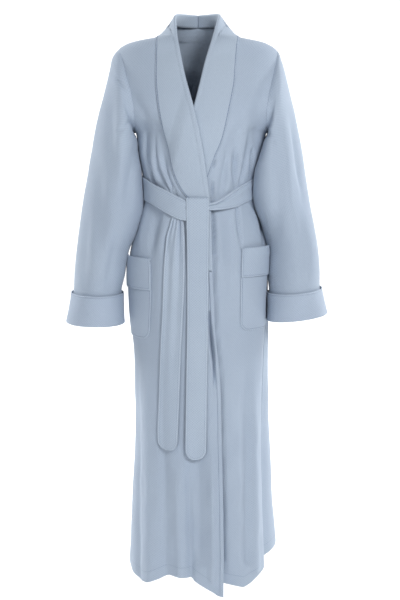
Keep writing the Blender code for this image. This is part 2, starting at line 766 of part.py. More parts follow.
def sleeve_ring(side, step, angle):
    rows = dict(SLEEVES[side], step=np.arange(len(SLEEVES[side]["outer"]), dtype=float))
    at = {name: read(rows, name, step, "step") for name in rows if name != "step"}
    outer = np.array([side * at["outer"], 0, at["outer_height"]])
    inner = np.array([side * at["inner"], 0, at["inner_height"]])
    turn = np.radians(angle)[:, None]
    middle = (outer + inner) / 2 + np.array([0, at["middle"], 0])
    point = middle + (outer - inner) / 2 * np.cos(turn) - np.array([0, at["depth"], 0]) * np.sin(turn)
    return point - np.array([side * at["lean"], 0, 0]) * np.sin(turn)


def sleeve_points(side, steps):
    loop, wall, angle = armhole(side)
    shift = loop - sleeve_ring(side, 0.0, angle)
    at_pit = np.exp(-(((angle - 180) / 14) ** 2))
    start = np.array([side * 1.0, 0, 0]) * (SEAM / 2 + 1.3 * MM * at_pit)[:, None]
    start = start + np.array([0, 0, 0.9 * MM]) * at_pit[:, None]
    held = [max(0.0, 1 - s / 4.5) ** 1.5 for s in steps]
    return np.array([sleeve_ring(side, s, angle) + (shift + start) * h for s, h in zip(steps, held)])


def tube_normals(points):
    """Normals of a tube of rings, facing away from each ring's middle."""
    along = np.gradient(points, axis=0)
    round_it = np.roll(points, -1, axis=1) - np.roll(points, 1, axis=1)
    normal = np.cross(along, round_it)
    normal /= np.linalg.norm(normal, axis=-1, keepdims=True)
    away = (normal * (points - points.mean(axis=1, keepdims=True))).sum(axis=-1).mean()
    return normal if away > 0 else -normal


HEM_STEP = 16.0
STAND_STEP = 15.0
for side, name in ((RIGHT, "right"), (LEFT, "left")):
    steps = [0, 1, 2, 3, 4, 5, 6, 7, 8, 9, 10, 11, 12, 13, 14, STAND_STEP]
    points = sleeve_points(side, steps)
    normals = tube_normals(points)
    normals[0] = armhole(side)[1]
    pulled_end = points.copy()
    end = points[-2] - points[-1]
    pulled_end[-1] += end / np.linalg.norm(end, axis=-1, keepdims=True) * 0.1 * MM
    around = points.shape[1]
    shell(f"sleeve_{name}", pulled_end, normals, grid_faces(len(steps), around, closed=True), BLUE)

    hem = sleeve_points(side, [14.0, 15.0, 15.6, HEM_STEP])
    hem_normals = tube_normals(hem)
    down = hem[-1] - hem[-2]
    down /= np.linalg.norm(down, axis=-1, keepdims=True)
    base = hem[1] + down * 0.4 * MM
    leaf = sleeve_points(side, [13.0, 14.0, 15.0, 15.6, 15.9])
    leaf_normals = tube_normals(leaf)
    stand_off = np.array([5.9, 4.2, 3.4, 3.4, 3.2])[:, None, None] * MM
    leaf = leaf + leaf_normals * stand_off
    way = hem_normals[-1]
    loops = [
        (base, hem_normals[1]),
        (hem[2], hem_normals[2]),
        (hem[-1] + down * -1.0 * MM, way * 0.8 - down * 0.6),
        (hem[-1] + down * 0.6 * MM + way * 1.6 * MM, -down),
        (leaf[-1] + down * -0.4 * MM, -leaf_normals[-1] * 0.8 - down * 0.6),
        (leaf[3], -leaf_normals[3]),
        (leaf[2], -leaf_normals[2]),
        (leaf[1], -leaf_normals[1]),
        (leaf[0], -leaf_normals[0]),
    ]
    cuff = np.array([loop[0] for loop in loops])
    facing = np.array([loop[1] for loop in loops])
    facing = -facing / np.linalg.norm(facing, axis=-1, keepdims=True)
    faces = turned(cuff.reshape(-1, 3), facing.reshape(-1, 3), grid_faces(len(loops), around, closed=True))
    shell(f"cuff_{name}", cuff, facing, faces, DEEPER)


# Pockets, each made from its front's own points, with a band turned down over the top
FIRST = 1 + UNDER_COLLAR + TO_POCKET
LAST = FIRST + ON_POCKET


def pocket_out(side, rows, columns):
    """How far a pocket stands off the front: it hangs open a little towards the top and the side."""
    down = (rows - POCKET_TOP_ROW) / (POCKET_END_ROW - POCKET_TOP_ROW)
    across = (columns - FIRST) / ON_POCKET
    top = np.clip(1 - down * 1.15, 0, 1) ** 1.4
    belly = np.sin(np.pi * np.clip(across, 0, 1)) * 0.75 + 0.55 * ease((across - 0.4) / 0.5)
    gape = (8.0 if side == LEFT else 5.0) * top * belly * ease(across / 0.2)
    full = 1.2 * np.sin(np.pi * np.clip(down, 0, 1)) * np.sin(np.pi * across)
    return MM * (2.4 + gape + full)


for side, name in ((RIGHT, "right"), (LEFT, "left")):
    turns, heights, points, normals = FRONTS[side]
    rows, columns = np.meshgrid(
        np.arange(POCKET_TOP_ROW, POCKET_END_ROW + 1), np.arange(FIRST, LAST + 1), indexing="ij"
    )
    turn, height = turns[rows, columns].copy(), heights[rows, columns].copy()
    step = np.abs(turn[:, 1] - turn[:, 0])
    turn[-1, 0] += side * step[-1] * 0.55
    turn[-1, -1] -= side * step[-1] * 0.35
    turn[-2, 0] += side * step[-2] * 0.10
    height[-1, 0] += 4 * MM
    height[-1, -1] += 4 * MM
    cloth = RIGHT_FRONT if side == RIGHT else LEFT_FRONT
    out = pocket_out(side, rows, columns)
    sheet, way = surface(cloth, turn, height, out)
    crest = sheet[0].copy()
    crest_way = way[0]
    sheet[0] = sheet[0] + (sheet[1] - sheet[0]) * 0.35
    shell(f"pocket_{name}", sheet, way, grid_faces(*sheet.shape[:2]), BLUE)

    deep = BAND_END_ROW - POCKET_TOP_ROW + 1
    leaf, leaf_way = surface(cloth, turn[:deep], height[:deep], out[:deep] + 3.1 * MM)
    leaf[0] = leaf[0] + (leaf[1] - leaf[0]) * 0.06
    foot = sheet[0] + (crest - sheet[0]) * 0.10
    up = crest - foot
    up /= np.linalg.norm(up, axis=1, keepdims=True)
    loops = [
        (foot, -crest_way),
        (crest - up * 1.2 * MM, -crest_way * 0.8 + up * 0.6),
        (crest + crest_way * 1.55 * MM + up * 0.4 * MM, up),
    ] + [(leaf[r], leaf_way[r]) for r in range(deep)]
    band = np.array([loop[0] for loop in loops])
    facing = np.array([loop[1] for loop in loops])
    facing /= np.linalg.norm(facing, axis=-1, keepdims=True)
    faces = turned(band.reshape(-1, 3), facing.reshape(-1, 3), grid_faces(*band.shape[:2]))
    shell(f"pocket_band_{name}", band, facing, faces, PALE)


# Belt: the band round the waist, narrowing to the tie, and its two hanging tails
BELT = table(
    "turn middle half out",
    [
        (2, -0.3798, 0.0080, 15.5),
        (10, -0.3800, 0.0082, 15.5),
        (16, -0.3785, 0.0095, 14.6),
        (22, -0.3745, 0.0125, 12.0),
        (30, -0.3690, 0.0165, 7.6),
        (42, -0.3610, 0.0205, 4.2),
        (55, -0.3520, 0.0222, 3.4),
        (75, -0.3430, 0.0238, 3.6),
        (90, -0.3390, 0.0245, 3.6),
        (120, -0.3360, 0.0245, 3.6),
        (180, -0.3345, 0.0245, 3.2),
        (240, -0.3355, 0.0245, 3.6),
        (270, -0.3390, 0.0258, 3.6),
        (285, -0.3420, 0.0265, 3.9),
        (297, -0.3450, 0.0266, 6.4),
        (308, -0.3510, 0.0258, 9.6),
        (318, -0.3588, 0.0255, 11.6),
        (330, -0.3700, 0.0260, 12.8),
        (342, -0.3825, 0.0258, 14.6),
        (350, -0.3885, 0.0232, 15.5),
        (358, -0.3895, 0.0210, 15.5),
    ],
)
BELT_STEPS = 56
around = np.linspace(2.2, 357.8, BELT_STEPS)
across = np.linspace(1, -1, 4)
turn = np.broadcast_to(around[None, :], (len(across), BELT_STEPS))
height = read(BELT, "middle", turn, "turn") + across[:, None] * read(BELT, "half", turn, "turn")
bulge = 0.6 * (1 - across[:, None] ** 2)
band, way = surface(None, turn, height, MM * (read(BELT, "out", turn, "turn") + bulge))
shell("belt_waist", band, way, grid_faces(*band.shape[:2]), PALE)

TAIL_FRONT = table(
    "step height out left right",
    [
        (0, -0.3940, 12.5, -0.0235, 0.0218),
        (1, -0.3740, 12.5, -0.0235, 0.0218),
        (2, -0.3630, 12.9, -0.0238, 0.0220),
        (3, -0.3602, 14.0, -0.0238, 0.0220),
        (4, -0.3590, 15.6, -0.0238, 0.0221),
        (5, -0.3602, 17.3, -0.0238, 0.0221),
        (6, -0.3640, 18.6, -0.0238, 0.0222),
        (7, -0.3740, 19.0, -0.0237, 0.0223),
        (8, -0.3980, 18.9, -0.0236, 0.0224),
        (9, -0.4270, 17.4, -0.0233, 0.0225),
        (10, -0.4710, 14.6, -0.0230, 0.0225),
        (11, -0.5400, 12.6, -0.0228, 0.0224),
        (12, -0.6200, 12.0, -0.0230, 0.0220),
        (13, -0.7000, 11.5, -0.0240, 0.0208),
        (14, -0.7800, 11.0, -0.0254, 0.0197),
        (15, -0.8600, 11.0, -0.0265, 0.0190),
        (16, -0.9200, 11.0, -0.0272, 0.0183),
        (17, -0.9380, 11.0, -0.0272, 0.0178),
        (18, -0.9480, 11.0, -0.0240, 0.0142),
        (19, -0.9550, 11.0, -0.0190, 0.0088),
        (20, -0.9595, 11.0, -0.0110, 0.0002),
    ],
)
TAIL_UNDER = table(
    "step height out left right pleat",
    [
        (0, -0.3850, 11.2, -0.0540, -0.0320, 0.0),
        (1, -0.4050, 11.2, -0.0550, -0.0310, 0.0),
        (2, -0.4200, 11.4, -0.0580, -0.0295, 1.8),
        (3, -0.4500, 11.6, -0.0665, -0.0282, 2.2),
        (4, -0.5000, 11.2, -0.0715, -0.0278, 2.0),
        (5, -0.5600, 10.6, -0.0745, -0.0290, 1.6),
        (6, -0.6300, 10.4, -0.0775, -0.0325, 1.1),
        (7, -0.7100, 10.2, -0.0815, -0.0365, 0.7),
        (8, -0.7900, 10.0, -0.0848, -0.0395, 0.4),
        (9, -0.8600, 10.0, -0.0872, -0.0420, 0.2),
        (10, -0.9050, 10.0, -0.0890, -0.0438, 0.0),
        (11, -0.9220, 10.0, -0.0885, -0.0450, 0.0),
        (12, -0.9310, 10.0, -0.0850, -0.0485, 0.0),
        (13, -0.9375, 10.0, -0.0800, -0.0535, 0.0),
        (14, -0.9410, 10.0, -0.0720, -0.0620, 0.0),
    ],
)


def tail(name, rows, columns):
    share = np.linspace(0, 1, columns)
    height = np.broadcast_to(rows["height"][:, None], (len(rows["height"]), columns))
    x = rows["left"][:, None] + (rows["right"] - rows["left"])[:, None] * share
    out = rows["out"][:, None] + 0 * share
    if "pleat" in rows:
        out = out + rows["pleat"][:, None] * np.cos(share * 2 * np.pi * 2)
    points, out_way = surface(None, turn_at(x, height), height, MM * out)
    along = np.gradient(points, axis=0)
    over = np.gradient(points, axis=1)
    way = np.cross(along, over)
    way /= np.linalg.norm(way, axis=-1, keepdims=True)
    if (way * out_way)[len(way) // 2 :].sum() < 0:
        way = -way
    shell(name, points, way, grid_faces(*points.shape[:2]), PALE, WALL * 0.45, WALL * 0.45)


tail("belt_tail_front", TAIL_FRONT, 5)
tail("belt_tail_under", TAIL_UNDER, 9)
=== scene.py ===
import math

import bpy
import numpy as np
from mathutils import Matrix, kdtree


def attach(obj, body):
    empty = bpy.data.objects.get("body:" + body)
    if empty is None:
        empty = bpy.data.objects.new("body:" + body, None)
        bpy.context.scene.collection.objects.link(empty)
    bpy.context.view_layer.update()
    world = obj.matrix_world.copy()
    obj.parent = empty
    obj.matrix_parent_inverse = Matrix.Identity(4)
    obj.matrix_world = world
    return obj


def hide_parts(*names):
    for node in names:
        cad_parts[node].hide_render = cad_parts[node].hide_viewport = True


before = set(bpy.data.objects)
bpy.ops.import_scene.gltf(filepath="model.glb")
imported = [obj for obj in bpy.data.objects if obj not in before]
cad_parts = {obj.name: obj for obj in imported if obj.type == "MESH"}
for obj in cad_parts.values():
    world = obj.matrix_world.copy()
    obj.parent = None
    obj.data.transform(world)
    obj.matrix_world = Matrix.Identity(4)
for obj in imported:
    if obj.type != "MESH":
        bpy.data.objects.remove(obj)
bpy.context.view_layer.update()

MM = 0.001
WALL = 2.0 * MM
RIGHT = -1
LEFT = 1
NAMES = {RIGHT: "right", LEFT: "left"}


def table(names, rows):
    return dict(zip(names.split(), np.array(rows, float).T))


def lengths(names, rows):
    """A table of lengths, written in mm and kept in metres."""
    return table(names, np.array(rows, float) * MM)


# The worn form, as half widths and depths of a ring at each height
FORM = lengths("height right left front back", [
    (62, 48, 47, 34, 60),
    (56, 50, 49, 37, 62),
    (45, 54.5, 54, 43, 66),
    (30, 62, 61, 50, 70),
    (15, 73, 73, 57, 75),
    (6, 82, 82, 62, 79),
    (0, 93.5, 93, 65, 82),
    (-4, 120, 118, 68, 84),
    (-11, 153, 150.5, 72, 86),
    (-17, 168, 164.5, 74, 88),
    (-24, 179, 175.5, 76, 90),
    (-32, 186.2, 184, 78, 92),
    (-42, 191.5, 191.5, 81, 94),
    (-55, 195.5, 197, 87, 96),
    (-70, 200, 201, 94, 99),
    (-90, 204, 207, 102, 103),
    (-115, 207, 212, 110, 108),
    (-140, 205, 213, 117, 112),
    (-165, 193, 204, 122, 113),
    (-185, 176, 189, 124, 112),
    (-205, 152, 169, 125, 110),
    (-214.5, 143.5, 159, 125, 109),
    (-235, 140.5, 153.5, 123, 106),
    (-254, 138.5, 148, 120, 103),
    (-285, 134, 138, 114, 98),
    (-312, 129, 129.5, 109, 94),
    (-340, 125, 125, 106, 91),
    (-366, 125.5, 127.5, 105, 91),
    (-395, 132.5, 137.5, 107, 96),
    (-429, 142, 148.5, 111, 105),
    (-465, 152.5, 158, 116, 114),
    (-500, 159.5, 162.5, 120, 122),
    (-560, 162, 164, 124, 130),
    (-608, 161, 164, 125, 133),
    (-670, 157, 164, 126, 134),
    (-741, 152.5, 163, 127, 135),
    (-867, 151, 162, 129, 137),
    (-1000, 156, 165, 133, 142),
    (-1090, 161, 168, 136, 146),
    (-1180, 165.5, 173, 139, 150),
    (-1250, 169, 178, 141, 153),
    (-1300, 170.5, 181, 142, 155),
])

# Where each row of a front's grid meets its folded edge, the collar's outer edge and the side
HIGH_ROWS = [
    (56, 0, -29),
    (47, -1, -33),
    (34, -4, -41),
    (18, -8.5, -53),
    (0, -16, -68),
    (-20, -28, -86),
    (-42, -45, -106),
    (-66, -66, -127),
    (-90, -90, -148),
    (-115, -116, -168),
    (-140, -142, -186),
    (-165, -168, -202),
    (-190, -192, -214.5),
    (-213, -214, -230),
    (-236, -237, -247),
    (-260, -260, -265),
]
LOW_ROWS = [
    -285, -307, -328, -348, -368, -389, -411, -440, -476, -496, -499, -520, -541, -580, -618, -650, -665.5,
    -710, -780, -860, -940, -1030, -1120, -1180, -1225, -1260,
]
ROWS = lengths("edge collar side", HIGH_ROWS + [(height, height, height) for height in LOW_ROWS])
COLLAR_BACK_ROW = 4
ARMPIT_ROW = 12
COLLAR_END_ROW = 25
POCKET_TOP_ROW = 24
BAND_END_ROW = 28
POCKET_END_ROW = 32

# How much lower the right pocket hangs than the left one
LOWER = lengths("height shift", [
    (-400, 0),
    (-476, -23.5),
    (-541, -30),
    (-665.5, -21),
    (-780, 0),
    (-1300, 0),
])

# Columns of a front's grid between its lines, and of the back's
UNDER_COLLAR = 4
TO_POCKET = 3
ON_POCKET = 5
TO_SIDE = 1
SIDE_COLUMNS = 3
NECK_COLUMNS = 3

# Across X where the two folded front edges run, and the outer edges of the collar
EDGES = lengths("height right left", [
    (56, -50, 49),
    (35, -49.5, 43),
    (10, -46.5, 36),
    (-15, -42, 28.5),
    (-49, -37, 19),
    (-77, -32.5, 11),
    (-111, -23.5, 4.5),
    (-140, -14, -3),
    (-157, -8.5, -8.5),
    (-188, -2, -17.5),
    (-253, 11, -33),
    (-329, 20, -53),
    (-362, 25, -60),
    (-451, 28, -72),
    (-518, 30, -75),
    (-585, 34, -76),
    (-676, 38, -76),
    (-745, 46, -76),
    (-815, 50, -76),
    (-1051, 53, -76),
    (-1283, 52, -76),
])
COLLAR = lengths("height right left", [
    (0, -92, 92),
    (-16, -93, 89),
    (-58, -94, 85),
    (-101, -93.5, 82),
    (-122, -92, 78.5),
    (-166, -86, 69),
    (-231, -72, 53),
    (-271, -61, 36.5),
    (-308, -50, 24),
    (-345, -33, 10),
    (-368, -14, 1),
    (-400, 3, -13),
    (-450, 12, -40),
    (-496, 15, -60),
    (-520, 16, -60.5),
    (-1283, 37, -61.5),
])

# Across X where the sleeve is set in, in front and behind
ARMHOLE = lengths("height right right_back left left_back", [
    (-29, 182.5, 182.5, 180.5, 180.5),
    (-41, 175, 176, 181, 181.5),
    (-53, 170, 173, 178.5, 179.5),
    (-90, 160, 167, 170, 173),
    (-140, 149, 161, 160, 167),
    (-180, 145.5, 154, 157, 162.5),
    (-202, 143.8, 147, 158, 160),
    (-214.5, 143.5, 143.5, 159, 159),
])

# Turn of the side seams below the armpit
SIDE = table("height right left", [
    (-0.2145, 90, 90),
    (-0.3, 90, 90),
    (-0.4, 92, 88),
    (-0.47, 95, 84),
    (-0.7, 96, 81),
    (-1.283, 97, 80),
])

# Pocket's inner edge across X, from the centre outwards
POCKET = lengths("height right left", [
    (-440, 109, 98.5),
    (-471.5, 108, 98),
    (-545.5, 104, 96.5),
    (-665.5, 109, 95.5),
])
POCKET_SIDE_TURN = 4.0

# Hem heights round the body
HEM_RIGHT = table("turn height", [
    (-100, -1.262),
    (-70, -1.264),
    (-55, -1.269),
    (-44, -1.268),
    (-33, -1.252),
    (-22, -1.244),
    (-10, -1.246),
    (0, -1.252),
    (8, -1.266),
    (14, -1.284),
    (20, -1.286),
])
HEM_LEFT = table("turn height", [
    (-40, -1.235),
    (10, -1.245),
    (18, -1.262),
    (25, -1.276),
    (35, -1.276),
    (48, -1.265),
    (60, -1.255),
    (80, -1.24),
])
HEM_BACK = table("turn height", [
    (80, -1.24),
    (100, -1.229),
    (125, -1.229),
    (150, -1.245),
    (180, -1.252),
    (230, -1.252),
    (263, -1.262),
])
HEM_FROM = -0.95
PLAIN_HEM = -1.26

# Soft folds: which cloth they shape, where they run, their width and their depth in millimetres
# Cloths: 0 all, 1 right front, 2 left front, 3 back, 4 left front and back
FOLDS = table("cloth turn_top top turn_bottom bottom width depth_top depth_bottom", [
    (1, -45, -0.85, -45, -1.3, 13, 0, 9),
    (0, -22, -0.6, -21, -1.3, 11, 0, -12),
    (0, -4, -0.55, -5, -1.3, 9, 0, -14),
    (1, 16, -0.95, 19, -1.3, 7, 0, 15),
    (1, -80, -0.6, -82, -1.3, 12, 0, -4),
    (2, 22, -0.85, 22, -1.3, 8, 0, -9),
    (2, 38, -0.6, 38, -1.3, 14, 0, 5),
    (4, 81, -0.42, 79, -1.3, 10, 0, -20),
    (3, 110, -0.48, 117, -1.3, 19, 1, 37),
    (3, 140, -0.5, 142, -1.3, 10, 0, -14),
    (3, 155, -0.5, 156, -1.3, 12, 0, 9),
    (3, 181, -0.55, 181, -1.3, 11, 0, -9),
    (3, 206, -0.5, 206, -1.3, 12, 0, 9),
    (3, 233, -0.5, 232, -1.3, 11, 0, -12),
    (1, -46, -0.06, -58, -0.29, 8, 0, -5),
    (2, 46, -0.06, 58, -0.28, 8, 0, -5),
    (3, 140, -0.08, 146, -0.29, 10, 0, -4),
    (3, 220, -0.08, 214, -0.29, 10, 0, -4),
])
ALL, RIGHT_FRONT, LEFT_FRONT, BACK, LEFT_AND_BACK = range(5)
KINDS = {RIGHT: RIGHT_FRONT, LEFT: LEFT_FRONT}


def read(rows, name, at, key="height"):
    """A smooth curve, with no overshoot, through one column of a table against another."""
    order = np.argsort(rows[key])
    x = rows[key][order]
    y = rows[name][order]
    step = np.diff(x)
    slope = np.diff(y) / step
    grade = np.zeros_like(y)
    grade[0] = slope[0]
    grade[-1] = slope[-1]
    same = slope[:-1] * slope[1:] > 0
    before = (2 * step[1:] + step[:-1])[same]
    after = (step[1:] + 2 * step[:-1])[same]
    grade[1:-1][same] = (before + after) / (before / slope[:-1][same] + after / slope[1:][same])
    at = np.clip(np.asarray(at, float), x[0], x[-1])
    i = np.clip(np.searchsorted(x, at) - 1, 0, len(step) - 1)
    s = (at - x[i]) / step[i]
    return (
        y[i] * (1 + 2 * s) * (1 - s) ** 2
        + y[i + 1] * s * s * (3 - 2 * s)
        + step[i] * s * (1 - s) * (grade[i] * (1 - s) - grade[i + 1] * s)
    )


def ease(value):
    value = np.clip(value, 0, 1)
    return value * value * (3 - 2 * value)


def bell(away):
    return np.exp(-(away**2))


def ring(turn, height):
    """The plain form, with no folds."""
    angle = np.radians(turn)
    wide = np.where(np.sin(angle) < 0, read(FORM, "right", height), read(FORM, "left", height))
    deep = np.where(np.cos(angle) > 0, read(FORM, "front", height), read(FORM, "back", height))
    return np.stack([wide * np.sin(angle), -deep * np.cos(angle), height + 0 * angle], axis=-1)


def turn_at(x, height):
    """The turn, in front, at which the plain form has this X."""
    wide = np.where(np.asarray(x) < 0, read(FORM, "right", height), read(FORM, "left", height))
    return np.degrees(np.arcsin(np.clip(x / wide, -1, 1)))


def folded(cloth, turn, height):
    """How far the folds move a cloth out."""
    out = np.zeros(np.broadcast(turn, height).shape)
    fade = 0.04
    for i, kind in enumerate(FOLDS["cloth"]):
        mine = kind in (ALL, cloth) or kind == LEFT_AND_BACK and cloth in (LEFT_FRONT, BACK)
        if not mine:
            continue
        fold = {name: column[i] for name, column in FOLDS.items()}
        down = np.clip((fold["top"] - height) / (fold["top"] - fold["bottom"]), 0, 1)
        centre = fold["turn_top"] + (fold["turn_bottom"] - fold["turn_top"]) * down
        away = (turn - centre + 180) % 360 - 180
        deep = fold["depth_top"] + (fold["depth_bottom"] - fold["depth_top"]) * down
        past = ease((fold["bottom"] + fade - height) / fade) if fold["bottom"] > -1 else 0.0
        out = out + MM * deep * bell(away / fold["width"]) * (1 - past)
    return out


def lift(x, height):
    """How far the right front stands off where it lies on the left one."""
    under = read(EDGES, "left", height)
    on = ease((x - under + 0.036) / 0.032)
    full = 6.6 * MM * ease((-0.075 - height) / 0.065)
    spare = 1.0 * MM * ease((-0.50 - height) / 0.12)
    return on * (full - spare)


def bare(cloth, turn, height):
    """A cloth's form with its large folds, or the plain form."""
    point = ring(turn, height)
    if cloth is None:
        return point
    flat = point * np.array([1.0, 1.0, 0.0])
    out = folded(cloth, turn, height)
    if cloth == RIGHT_FRONT:
        out = out + lift(point[..., 0], height)
    return point + flat / np.linalg.norm(flat, axis=-1, keepdims=True) * out[..., None]


def surface(cloth, turn, height, out=0.0):
    """Points of a cloth's form, moved out along its normals, and those normals."""
    turn, height = np.broadcast_arrays(np.asarray(turn, float), np.asarray(height, float))
    round_it = bare(cloth, turn + 0.3, height) - bare(cloth, turn - 0.3, height)
    up = bare(cloth, turn, height + 0.0004) - bare(cloth, turn, height - 0.0004)
    normal = np.cross(round_it, up)
    normal /= np.linalg.norm(normal, axis=-1, keepdims=True)
    return bare(cloth, turn, height) + normal * np.asarray(out)[..., None], normal


def blend(knots, counts):
    """Values along a row, in even steps between its knots."""
    parts = []
    for k, n in enumerate(counts):
        step = (knots[k + 1] - knots[k])[..., None] / n
        parts.append(knots[k][..., None] + step * np.arange(n))
    return np.concatenate(parts + [knots[-1][..., None]], axis=-1)


def hemmed(turns, heights, hem):
    """A grid's heights, with its foot drawn to the hem."""
    share = ease((HEM_FROM - heights) / (HEM_FROM - PLAIN_HEM))
    return heights + share * (read(hem, "height", turns, "turn") - PLAIN_HEM)


# How far a front's hidden edge lies behind the folded one, and the collar's stand-off from the front
STAND = 10 * MM
LEAF = 3.0 * MM


def front_lines(side):
    """Turn and height of every point of a front's grid, with the folded edge as an extra first column."""
    key = NAMES[side]
    edge, collar, out = (ROWS[line].copy() for line in ("edge", "collar", "side"))
    if side == RIGHT:
        for line in (edge, collar, out):
            line += read(LOWER, "shift", line)
    fold_turn = turn_at(read(EDGES, key, edge), edge)
    fold_turn[0] = side * 90
    wide = read(FORM, key, edge)
    back_off = np.degrees(STAND / np.where(edge < -0.05, np.maximum(wide, 0.1), wide))
    shown = np.arange(len(edge)) > COLLAR_END_ROW
    neck_turn = fold_turn + side * np.where(shown, 0.0, back_off)
    drop = 28 * MM * ease((edge + 0.01) / 0.066)
    neck_height = edge - drop
    neck_x = np.abs(read(EDGES, key, edge)) + 0.3 * drop + 7 * MM
    neck_turn = np.where(drop > 0, side * np.abs(turn_at(neck_x, neck_height)), neck_turn)
    neck_turn[0] = side * 90
    collar_turn = turn_at(read(COLLAR, key, collar), collar)
    collar_turn[0] = side * 90
    high = side * turn_at(side * read(ARMHOLE, key, out), out)
    turn = np.where(np.arange(len(out)) <= ARMPIT_ROW, high, read(SIDE, key, out))
    turn[0] = turn[ARMPIT_ROW] = 90
    side_turn = side * turn
    pocket_turn = turn_at(side * read(POCKET, key, out), out)
    share = np.zeros(len(out))
    low = slice(POCKET_TOP_ROW, None)
    share[low] = ((pocket_turn - collar_turn)[low]) / (side_turn - collar_turn)[low]
    share[:POCKET_TOP_ROW] = share[POCKET_TOP_ROW]
    share[POCKET_END_ROW:] = share[POCKET_END_ROW]
    last = np.full(len(out), 0.92)
    low = slice(ARMPIT_ROW + 1, None)
    last[low] = 1 - POCKET_SIDE_TURN / np.abs(side_turn - collar_turn)[low]
    counts = (UNDER_COLLAR, TO_POCKET, ON_POCKET, TO_SIDE)
    grids = []
    columns = (fold_turn, neck_turn, collar_turn, side_turn), (edge, neck_height, collar, out)
    for fold, neck, start, end in columns:
        knots = (neck, start, start + (end - start) * share, start + (end - start) * last, end)
        grids.append(np.concatenate([fold[:, None], blend(knots, counts)], axis=1))
    turns, heights = grids
    return turns, hemmed(turns, heights, HEM_RIGHT if side == RIGHT else HEM_LEFT)


BACK_LINES = table("row collar_turn collar neck_turn neck centre", [
    (0, 90, 0.000, 90, 0.028, 0.028),
    (1, 101, -0.0025, 106, 0.014, 0.015),
    (2, 113, -0.0060, 122, 0.003, 0.003),
    (3, 124, -0.0095, 140, -0.009, -0.009),
    (4, 134, -0.0130, 157, -0.019, -0.021),
    (8, 139, -0.11375, 159, -0.11675, -0.11775),
    (12, 133, -0.2145, 156, -0.2145, -0.2145),
    (16, 119, -0.2850, 150, -0.2850, -0.2850),
])


def back_half(side):
    """Turn and height of half the back's grid, from its side to the centre."""
    key = NAMES[side]
    out = ROWS["side"]
    row = np.arange(len(out))
    high = out[: ARMPIT_ROW + 1]
    arm = 180 - side * turn_at(side * read(ARMHOLE, key + "_back", high), high)
    side_turn = np.concatenate([arm, read(SIDE, key, out[ARMPIT_ROW + 1 :])])
    side_turn[0] = side_turn[ARMPIT_ROW] = 90
    lines = {name: np.interp(row, BACK_LINES["row"], column) for name, column in BACK_LINES.items()}
    for name in ("collar", "neck", "centre"):
        lines[name] = np.where(row > ARMPIT_ROW, out, lines[name])
    counts = (SIDE_COLUMNS, UNDER_COLLAR, NECK_COLUMNS)
    turns = blend((side_turn, lines["collar_turn"], lines["neck_turn"], np.full(len(out), 180.0)), counts)
    heights = blend((out, lines["collar"], lines["neck"], lines["centre"]), counts)
    round_it = turns if side == LEFT else 360 - turns
    return round_it, hemmed(round_it, heights, HEM_BACK)


# Sleeves, ring by ring from the armhole to the folded hem of the cuff
SLEEVE_COLUMNS = "outer outer_height inner inner_height depth middle lean"
SLEEVES = {
    RIGHT: lengths(SLEEVE_COLUMNS, [
        (182.8, -29, 145, -213.8, 76, -6, 0),
        (188, -35, 148.6, -214.3, 77, -6, 0),
        (194.8, -48.5, 151.2, -217, 78, -6, 1),
        (199.5, -68, 150.2, -224.5, 79, -6, 4),
        (207, -94, 143.6, -236.5, 80, -6, 8),
        (218, -134, 141.3, -253, 81, -7, 12),
        (231, -188, 137.9, -277, 81, -8, 15),
        (244, -250, 134.4, -308, 80, -9, 16),
        (255, -305, 132.5, -345, 79, -10, 16),
        (265, -360, 132.2, -385, 78, -11, 14),
        (275, -425, 146, -435, 77, -12, 12),
        (284, -490, 171.5, -490, 75.5, -13, 8),
        (290, -540, 179, -535, 74.5, -14, 6),
        (294, -586, 182, -586, 73.5, -15, 5),
        (301, -620, 180.5, -622, 73, -15, 4),
        (306.5, -645, 179.5, -647, 72.5, -15, 4),
        (308, -655, 179, -657, 72.5, -15, 4),
    ]),
    LEFT: lengths(SLEEVE_COLUMNS, [
        (180.8, -29, 160.5, -213.8, 76, -6, 0),
        (185, -34, 163.2, -215, 77, -6, 0),
        (190, -46, 164.2, -218.5, 78, -6, 1),
        (196.5, -64, 162, -226, 79, -6, 3),
        (203.5, -90, 155.8, -237, 80, -6, 6),
        (212, -128, 151.1, -253, 81, -7, 10),
        (224, -180, 143.6, -277, 81, -8, 14),
        (236.5, -242, 134.7, -308, 80, -9, 16),
        (247, -300, 132.5, -345, 79, -10, 16),
        (257, -358, 136.8, -385, 78, -10, 10),
        (268.5, -425, 153.6, -435, 77, -8, -6),
        (278.5, -488, 166.4, -490, 75.5, -6, -12),
        (284, -530, 166.5, -535, 73.5, -11, -10),
        (286.5, -574, 170.2, -586, 70, -14, -3),
        (293.5, -602, 169, -617, 68, -15, 0),
        (299.5, -626, 168.2, -641, 66.5, -15, 3),
        (301.2, -634.5, 167.7, -651, 66, -15, 4),
    ]),
}


def sleeve_ring(side, step, angle):
    rows = dict(SLEEVES[side], step=np.arange(len(SLEEVES[side]["outer"]), dtype=float))
    at = {name: read(rows, name, step, "step") for name in rows if name != "step"}
    outer = np.array([side * at["outer"], 0, at["outer_height"]])
    inner = np.array([side * at["inner"], 0, at["inner_height"]])
    turn = np.radians(angle)[:, None]
    middle = (outer + inner) / 2 + np.array([0, at["middle"], 0])
    point = middle + (outer - inner) / 2 * np.cos(turn) - np.array([0, at["depth"], 0]) * np.sin(turn)
    return point - np.array([side * at["lean"], 0, 0]) * np.sin(turn)


